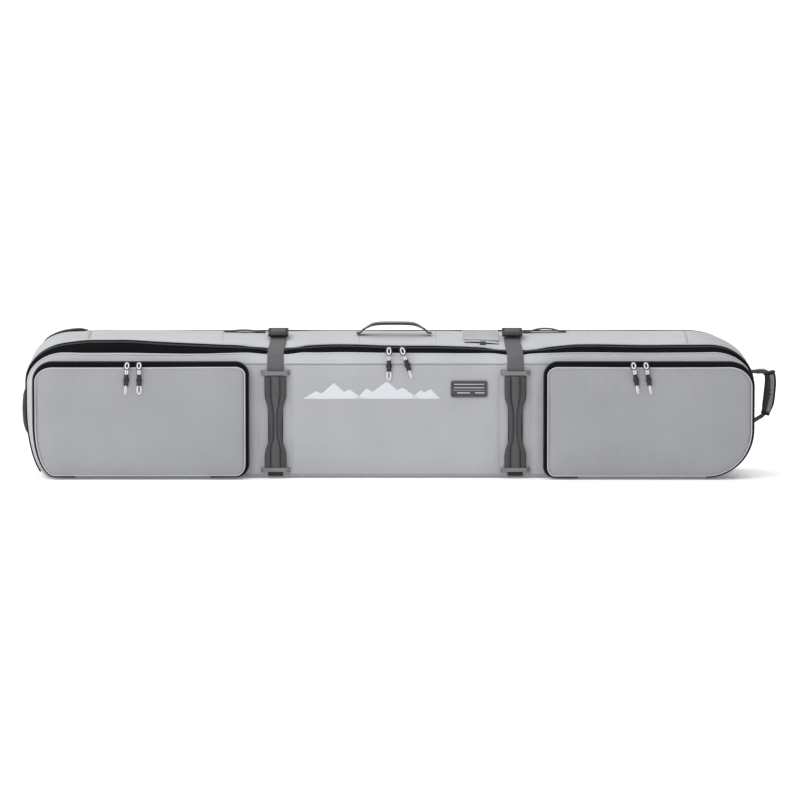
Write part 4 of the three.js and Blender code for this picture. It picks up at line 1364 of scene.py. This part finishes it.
def add_top_handle():
    origin = np.array([12.0, 5.0, 331.5])
    lower = arch(origin, EAST, UP, 158, 70, 20.0)
    upper = arch(origin + UP * 1.8, EAST, UP, 150, 74, 22.5)
    strap = add_ribbon("top_handle_webbing", lower, FRONT, 25.0, TRIM, None, ["top_handle"], thickness=3.4)
    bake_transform(strap)
    add_ribbon("top_handle_cover", upper[len(upper) // 9 : -len(upper) // 9], FRONT, 23.0, HANDLE,
        "top_handle_body", thickness=2.4)
    bars = []
    for s in (-1, 1):
        for dy in (-9, 9):
            bars.append((np.array([origin + EAST * s * d + np.array([0, dy, 0.6]) for d in np.linspace(76,
                84, 8)]), UP))
    add_stitches("top_handle_anchor_stitches", bars, "root", DARK_THREAD, pitch=2.6, length=2.0, width=1.0)
    rows = []
    for s in (-9.5, 9.5):
        rows.append((np.array([p + np.array([0, s,
            1.0]) for p in upper[len(upper) // 5 : -len(upper) // 5]]), UP))
    add_stitches("top_handle_stitches", rows, "top_handle_body", THREAD, pitch=4.0, length=2.6)


def add_tow_handle():
    """A doubled webbing strap that leaves the end of the bag level, and turns down into a padded wrap."""
    across = np.array([0, 1.0, 0])
    route = [(846, 240), (853, 240.5), (864, 241), (877, 241.5), (888, 240), (895, 233), (897, 220),
        (895.5, 195), (893, 170), (888, 150), (880, 138), (868, 130), (858, 124), (850, 118)]
    path = spline([(x, -5.0, z) for x, z in route], 3.0)
    strap = add_ribbon("tow_handle_strap", path, across, 25.0, TRIM, None, ["tow_handle_webbing"],
        thickness=7.4)
    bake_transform(strap)
    skins = []
    for side in (1, -1):
        skins.append(ribbon(path[6:14] + UP * 4.4 * side, across, 23.0, 1.5))
    points, faces = join_parts([k[:2] for k in skins])
    add_piece("tow_handle_facing", points, faces, HANDLE, "tow_handle_body", "webbing",
        uv=np.concatenate([k[2] for k in skins]))

    centre = spline([(893.5, -5, 240.5), (896.5, -5, 228), (897, -5, 214), (895.5, -5, 195),
        (893, -5, 172), (889, -5, 154), (884.5, -5, 139)], 3.0)
    turn = np.linspace(0, 2 * np.pi, 28, endpoint=False)
    shape = np.stack([17.5 * np.sign(np.cos(turn)) * np.abs(np.cos(turn)) ** 0.7,
        13.4 * np.sign(np.sin(turn)) * np.abs(np.sin(turn)) ** 0.75], 1)
    s = np.linspace(0, 1, len(centre))
    swell = 0.94 + 0.10 * np.sin(np.pi * s) - 0.24 * ease((s - 0.72) / 0.28)
    swell = swell + 0.010 * np.sin(np.arange(len(s)) * 1.9)
    points, faces, _ = sweep(centre, across, shape, taper=swell)
    middle = np.array([np.mean([points[i] for i in f], axis=0) for f in faces])
    behind = middle[:, 0] - np.interp(middle[:, 2], centre[::-1, 2], centre[::-1, 0])
    wrap = add_piece("tow_handle_wrap", points, faces, [TOW_WRAP, PIPING], "tow_handle_body", "padding",
        ["tow_handle_grip"], (behind > 7.5).astype(int))
    parts = []
    for k in (1, len(centre) - 2):
        tangent = unit(centre[k + 1] - centre[k - 1])
        outward = np.cross(across, tangent)
        around = centre[k] + np.outer(shape[:, 0] * swell[k] * 1.02,
            across) + np.outer(shape[:, 1] * swell[k] * 1.03, outward)
        parts.append(tube(around, 1.6, 8, closed=True))
    points, faces = join_parts(parts)
    add_piece("tow_handle_hems", points, faces, PIPING, "tow_handle_body", "padding")
    flap = centre[2:-3] + np.array([3.2, -17.2, 0])
    add_ribbon("tow_handle_closure", flap, EAST, 9.0, KEEPER, "tow_handle_body", thickness=1.8)


def add_end_handle():
    """A padded webbing handle held close to the wheel end."""
    route = [(-843, 216), (-848.5, 209), (-853.6, 192), (-856.0, 168), (-856.1, 144), (-853.6, 120),
        (-847.6, 102), (-840, 90), (-836, 84)]
    path = spline([(x, -25.0, z) for x, z in route], 3.0)
    across = np.array([0, 1.0, 0])
    s = np.linspace(0, 1, len(path))
    points, faces, uv = sweep(path, across, strap_profile(25.0, 8.6),
        taper=0.62 + 0.38 * ease(s * 5) * ease((1 - s) * 5))
    strap = add_piece("end_handle_strap", points, faces, TRIM, None, "webbing", ["end_handle"], uv=uv)
    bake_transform(strap)
    lines = [(path[8:-8] + np.array([-4.5, d, 0]), -EAST) for d in (-9.0, 9.0)]
    add_stitches("end_handle_stitches", lines, "end_handle_body", DARK_THREAD, pitch=4.0, length=2.6)


def add_top_loop(name, x0, x1, rise, node):
    y = 60.0
    route = [(x0 - 2, 0.2), (x0 + 10, 0.4), (x0 + 30, rise * 0.8), ((x0 + x1) / 2, rise * 1.05),
        (x1 - 30, rise * 0.8), (x1 - 10, 0.4), (x1 + 2, 0.2)]
    path = spline([(x, y, top_height(x, y) + 1.6 + h) for x, h in route], 4.0)
    add_ribbon(name + "_webbing", path, FRONT, 22.0, TRIM, "root", [node])
    bars = []
    for x in (x0 + 5, x1 - 5):
        bars.append((np.array([(x, y + d, top_height(x, y) + 3.2) for d in np.linspace(-9, 9, 14)]), UP))
    add_stitches(name + "_stitches", bars, "root", DARK_THREAD, pitch=2.6, length=2.0, width=1.2)


add_top_handle()
add_tow_handle()
add_end_handle()
add_top_loop("left_top_loop", -387, -294, 3.0, "left_top_loop")
add_top_loop("right_top_loop", 317, 416, 7.5, "right_top_loop")

# ---- trim on the top and front ----


def on_top(x, y, out=0.0):
    return (x, y, top_height(x, y) + out)


def add_id_window():
    """A clear pocket for an address card, with a bound edge and a slit with a pull tab in front of it."""
    xs, ys = np.linspace(174, 256, 22), np.linspace(-28, 84, 24)
    sheet = np.array([[on_top(x, y, 1.7) for x in xs] for y in ys])
    points, faces, _ = slab(sheet, sheet - UP * 1.2)
    add_piece("id_window_film", points, faces, FILM, "root", "window_film", ["id_window"])
    edge = [on_top(x, -28, 2.0) for x in xs] + [on_top(256, y, 2.0) for y in ys[1:]] + [on_top(x, 84,
        2.0) for x in xs[::-1][1:]] + [on_top(174, y, 2.0) for y in ys[::-1][1:-1]]
    add_piece("id_window_binding", *tube(edge, 1.3, 6, closed=True), LIP_HIGHLIGHT_AND_PALE_TRIM, "root", "shell_fabric")
    # The slit's opening is a black tube, thicker in the middle: painted shade in the gap.
    xs = np.linspace(176, 258, 30)
    lower = np.array([on_top(x, -46 + 1.4 * math.sin((x - 176) / 13), 1.2) for x in xs])
    thick = np.sin(np.linspace(0.25, np.pi - 0.25, 30))
    add_piece("id_pocket_slit_painted_shade", *tube(lower, 1.7, 8, taper=0.35 + 0.65 * thick), PIPING, "root",
        "shell_fabric")
    # The slit's lip is in the lighter lip fabric: painted highlight along the fold.
    add_piece("id_pocket_lip", *tube(lower + np.array([0, 4.0, 0.9]), 1.5, 8), LIP_HIGHLIGHT_AND_PALE_TRIM, "root", "shell_fabric")
    tab = [on_top(219.5, -41, 2.0), on_top(219.5, -47, 3.6), on_top(219.5, -53, 2.6), on_top(219.5, -57, 2.0)]
    add_ribbon("id_pocket_tab", spline(tab, 1.5), EAST, 14.0, TAIL, "root", ["id_tab"], thickness=1.8)


def front_sheet(outline, lift, thickness, name, material, slot, body="lid", replaces=()):
    """A flat shape, drawn as triangles of (x, z), laid on the front fabric."""
    bm = bmesh.new()
    for shape in outline:
        verts = [bm.verts.new((p[0], 0, p[1])) for p in shape]
        bm.faces.new(verts)
    bmesh.ops.triangulate(bm, faces=bm.faces)
    bmesh.ops.subdivide_edges(bm, edges=bm.edges, cuts=5, use_grid_fill=True)
    bmesh.ops.remove_doubles(bm, verts=bm.verts, dist=0.01)
    bm.verts.index_update()
    flat = np.array([(v.co.x, front_depth(v.co.x, v.co.z) - lift, v.co.z) for v in bm.verts])
    faces = [tuple(v.index for v in f.verts) for f in bm.faces]
    rim = [tuple(v.index for v in e.verts) for e in bm.edges if e.is_boundary]
    bm.free()
    n = len(flat)
    back = flat + np.array([0, thickness, 0])
    faces = faces + [tuple(i + n for i in f) for f in faces] + [(a, b, b + n, a + n) for a, b in rim]
    return add_piece(name, np.concatenate([flat, back]), faces, material, body, slot, replaces)


def add_print():
    """A generic ridge line of peaks, printed pale on the front."""
    peaks = [(-201, 186), (-170, 205), (-157, 199), (-128, 224), (-104, 203), (-92, 209), (-58, 186)]
    second = [(-78, 186), (-52, 211), (-38, 203), (-4, 228), (20, 207), (33, 213), (72, 186)]
    third = [(50, 186), (74, 207), (84, 202), (97, 210), (121, 186)]
    shapes = []
    for line in (peaks, second, third):
        for a, b in zip(line[:-1], line[1:]):
            base = 186.0
            if a[1] == base:
                shapes.append([a, b, (b[0], base)])
            elif b[1] == base:
                shapes.append([a, b, (a[0], base)])
            else:
                shapes.append([(a[0], base), a, b, (b[0], base)])
    shapes = [s if np.cross(np.subtract(s[1], s[0]),
        np.subtract(s[2], s[0])) < 0 else s[::-1] for s in shapes]
    front_sheet(shapes, 0.35, 0.3, "front_print", PRINT, "shell_fabric")


def add_patch():
    outline = [(p[0], p[1]) for p in rounded_ring(145, 229, 191, 228, ((5, 5),) * 4, 3.0)]
    xs, zs = np.linspace(145, 229, 29), np.linspace(191, 228, 14)
    sheet = np.array([[(x, front_depth(x, z) - 1.5, z) for x in xs] for z in zs])
    depth = edge_distance(sheet[..., 0], sheet[..., 2], 145, 229, 191, 228, ((1, 1),) * 4)
    sheet[..., 1] += rolled(depth, 1.0) * 0.6
    points, faces, _ = slab(sheet, sheet - FRONT * 1.4)
    add_piece("label_patch_base", points, faces, PATCH, "lid", "patch_fabric", ["label_patch"])
    rim = [(x, front_depth(x, z) - 1.9, z) for x, z in outline]
    add_piece("label_patch_border", *tube(rim, 1.3, 8, closed=True), PATCH_RIM, "lid", "patch_fabric")
    bars = []
    for x, z, length in ((187, 220.6, 70), (187, 212.6, 70), (174, 200.5, 30), (212, 200.5, 22)):
        y = front_depth(x, z) - 1.9
        bars.append(soft_box((x, y, z), (length, 0.8, 2.6 if z < 205 else 2.0), 0.35))
    line = soft_box((187, front_depth(187, 206.8) - 1.8, 206.8), (74, 0.5, 0.8), 0.2)
    points, faces = join_parts(bars + [line])
    add_piece("label_patch_bars", points, faces, LIP_HIGHLIGHT_AND_PALE_TRIM, "lid", "patch_fabric")


def add_top_seams():
    runs = []
    for x in (-391, -70, 110, 470):
        runs.append((np.array([on_top(x, y, 0.4) for y in np.linspace(-58, 88, 40)]), UP))
    add_stitches("top_panel_stitches", runs, "root")


add_id_window()
add_print()
add_patch()
add_top_seams()

# ---- wheel base, wheels and rails ----


def add_wheel_base():
    """The moulded base: the frame's own shape with softened edges, ribs and screws."""
    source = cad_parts["wheel_base"]
    mesh = source.data.copy()
    mesh.name = "wheel_base_shell"
    mesh.materials.clear()
    mesh.materials.append(PLASTIC)
    obj = bpy.data.objects.new("wheel_base_shell", mesh)
    bpy.context.scene.collection.objects.link(obj)
    bpy.context.view_layer.objects.active = obj
    weld = obj.modifiers.new("Weld", "WELD")
    weld.merge_threshold = 0.00002
    remesh = obj.modifiers.new("Remesh", "REMESH")
    remesh.mode = "VOXEL"
    remesh.voxel_size = 2.0 * MM
    remesh.use_smooth_shade = True
    smooth = obj.modifiers.new("Smooth", "SMOOTH")
    smooth.factor = 0.5
    smooth.iterations = 5
    final = bpy.data.meshes.new_from_object(obj.evaluated_get(bpy.context.evaluated_depsgraph_get()))
    obj.modifiers.clear()
    obj.data = final
    final.polygons.foreach_set("use_smooth", np.full(len(final.polygons), True))
    if not final.materials:
        final.materials.append(PLASTIC)
    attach(obj, "root")
    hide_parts("wheel_base")

    parts = []
    for x in (-811, -790, -768, -746, -724, -706):
        parts.append(soft_box((x, 100.6, 164), (5.0, 3.0, 118.0), 1.3))
    outline, away, _ = ring(92.0)
    corner = np.arange(RUNS["wheel"][0] + 2, RUNS["wheel"][0] + 3 + END_STEPS["corner"] + 8)
    rim = outline[corner] + away[corner] * 1.6
    rim = np.stack([rim[:, 0], np.full(len(rim), 91.0), rim[:, 1]], 1)
    parts.append(tube(rim, 4.2, 10,
        taper=0.2 + 0.8 * ease(np.linspace(0, 1, len(rim)) * 9) * ease(np.linspace(1, 0, len(rim)) * 4)))
    for z in (20, 308):
        for x in (-716, -745):
            parts.append(lathe([(0.01, -1.0), (4.4, -1.0), (4.8, 0.6), (3.6, 1.7), (0.01, 2.0)],
                (x, 99.4, z), 20, "y"))
    points, faces = join_parts(parts)
    add_piece("wheel_base_ribs", points, faces, PLASTIC, "root", "moulded_plastic")


def add_wheel(side):
    centre = (*WHEEL_CENTRE, WHEEL_HEIGHTS[side])
    body = side + "_wheel"
    tread = [(29.5, -13.5), (33, -15.6), (38, -16.8), (41.4, -16.0), (43.2, -13.0)]
    for h in (-8.5, 0.0, 8.5):
        tread += [(43.9, h - 3.0), (44.0, h + 2.2), (42.9, h + 3.0), (42.9, h + 3.8)]
    tread = tread[:-2] + [(43.2, 13.0), (41.4, 16.0), (38, 16.8), (33, 15.6), (29.5, 13.5)]
    add_piece(side + "_tyre", *lathe(tread, centre, 72), RUBBER, body, "wheel_rubber", [side + "_wheel_tyre"])
    rim = lathe([(24.5, -9), (25.5, -11.8), (29.2, -12.6), (29.2, 12.6), (25.5, 11.8), (24.5, 9)], centre, 60)
    boss = lathe([(5.4, -16.8), (10.5, -16.8), (12.0, -15.2), (12.6, -6), (12.6, 6), (12.0, 15.2),
        (10.5, 16.8), (5.4, 16.8)], centre, 40)
    disc = lathe([(11.5, -1.6), (25.5, -1.6), (25.5, 1.6), (11.5, 1.6)], centre, 60)
    parts = [rim, boss, disc]
    for k in range(6):
        p, f = soft_box((18.6, 0, 0), (14.5, 5.0, 19.0), 1.4)
        p = turned(p, k * math.pi / 3, "Z", np.zeros(3)) + np.array(centre)
        parts.append((p, f))
    points, faces = join_parts(parts)
    add_piece(side + "_hub", points, faces, PLASTIC, body, "moulded_plastic", [side + "_wheel_hub"])
    half = 23.0
    axle = lathe([(0.01, -half), (3.8, -half), (4.9, -half + 1.2), (4.9, half - 1.2), (3.8, half),
        (0.01, half)], centre, 32)
    add_piece(side + "_axle_pin", *axle, STEEL, "root", "axle_steel", [side + "_axle"])


def add_rail(side):
    z = WHEEL_HEIGHTS[side]
    xs = np.concatenate([np.linspace(-690, -668, 8), np.linspace(-650, 600, 60), np.linspace(618, 640, 8)])
    height = 6.2 * ease((xs + 690.5) / 20) * ease((640.5 - xs) / 20) + 0.6
    rows = []
    for x, h in zip(xs, height):
        rows.append([(x, 100.2, z - 10), (x, 100.2 + h * 0.55, z - 9.6), (x, 100.2 + h * 0.92, z - 7.4),
            (x, 100.2 + h, z - 4.4), (x, 100.2 + h * 0.93, z - 2.2),
                     (x, 100.2 + h * 0.93, z + 2.2), (x, 100.2 + h, z + 4.4),
                     (x, 100.2 + h * 0.92, z + 7.4), (x, 100.2 + h * 0.55, z + 9.6), (x, 100.2, z + 10)])
    rows = np.array(rows)
    n = rows.shape[1]
    faces = grid_quads(len(rows), n, True) + [tuple(range(n)),
        tuple((len(rows) - 1) * n + i for i in range(n))]
    parts = [(rows.reshape(-1, 3), faces)]
    for x in (-640, -320, 0, 300, 590):
        parts.append(lathe([(0.01, -0.6), (3.1, -0.6), (3.3, 0.2), (2.2, 0.9), (0.01, 1.0)],
            (x, 106.0, z), 20, "y"))
    points, faces = join_parts(parts)
    add_piece(side + "_rail", points, faces, PLASTIC, "root", "moulded_plastic", [side + "_skid_rail"])


add_wheel_base()
for side in WHEEL_HEIGHTS:
    add_wheel(side)
    add_rail(side)

# ---- lining over the sewn hinge ----


def add_hinge_lining():
    xs = np.linspace(-690, 690, 140)
    ys = np.linspace(-94, -60, 24)
    sheet = np.array([[(x, y, 5.8 + 1.2 * math.exp(-((y + 78) / 5) ** 2)) for x in xs] for y in ys])
    points, faces, _ = slab(sheet, sheet - UP * 1.1)
    strip = add_piece("hinge_lining", points, faces, LINING, None, "padding")
    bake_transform(strip)


add_hinge_lining()

# ---- studio ----


def add_floor():
    mesh = bpy.data.meshes.new("studio_floor")
    size = 160.0
    mesh.from_pydata([(-size, -size, 0), (size, -size, 0), (size, size, 0), (-size, size, 0)], [],
        [(0, 1, 2, 3)])
    mesh.materials.append(FLOOR)
    floor = bpy.data.objects.new("studio_floor", mesh)
    floor.location.z = -0.0006
    bpy.context.scene.collection.objects.link(floor)


def add_light(name, place, target, size, energy):
    lamp = bpy.data.lights.new(name, "AREA")
    lamp.shape = "RECTANGLE"
    lamp.size, lamp.size_y = size
    lamp.energy = energy
    obj = bpy.data.objects.new(name, lamp)
    obj.location = place
    obj.rotation_euler = (Vector(target) - Vector(place)).to_track_quat("-Z", "Y").to_euler()
    bpy.context.scene.collection.objects.link(obj)


def add_dome():
    """A white band round the horizon under a dimmer sky, so the floor stays pale."""
    world = bpy.data.worlds.new("studio_dome")
    world.use_nodes = True
    tree = world.node_tree
    place = tree.nodes.new("ShaderNodeTexCoord")
    split = tree.nodes.new("ShaderNodeSeparateXYZ")
    sky = tree.nodes.new("ShaderNodeValToRGB")
    sky.color_ramp.elements[0].position = 0.03
    sky.color_ramp.elements[0].color = (1.06, 1.06, 1.06, 1)
    sky.color_ramp.elements[1].position = 0.16
    sky.color_ramp.elements[1].color = (0.42, 0.42, 0.43, 1)
    tree.links.new(place.outputs["Generated"], split.inputs[0])
    tree.links.new(split.outputs[2], sky.inputs[0])
    tree.links.new(sky.outputs[0], tree.nodes["Background"].inputs[0])
    bpy.context.scene.world = world


def add_sun(energy, spread, direction):
    lamp = bpy.data.lights.new("overhead_light", "SUN")
    lamp.energy = energy
    lamp.angle = math.radians(spread)
    obj = bpy.data.objects.new("overhead_light", lamp)
    obj.rotation_euler = (-Vector(direction)).to_track_quat("-Z", "Y").to_euler()
    bpy.context.scene.collection.objects.link(obj)


floor_shader = FLOOR.node_tree.nodes["Principled BSDF"]
floor_shader.inputs["Emission Color"].default_value = (1, 1, 1, 1)
floor_shader.inputs["Emission Strength"].default_value = FLOOR_GLOW
add_floor()
add_dome()
add_sun(2.75, 100.0, (-0.30, -0.10, 1.0))
add_light("key_light", (-1.5, -2.0, 1.6), (-0.3, 0, 0.2), (2.0, 1.2), 18.0)

camera = bpy.data.cameras.new("camera")
camera.sensor_width = 36.0
camera.lens = 231.3
camera.clip_end = 400.0
view = bpy.data.objects.new("camera", camera)
target = Vector((0.0257, -0.100, 0.1831))
tip = math.radians(6.0)
view.location = target + 12.0 * Vector((0, -math.cos(tip), math.sin(tip)))
view.rotation_euler = (target - view.location).to_track_quat("-Z", "Y").to_euler()
bpy.context.scene.collection.objects.link(view)
bpy.context.scene.camera = view
bpy.context.scene.view_settings.view_transform = "Standard"
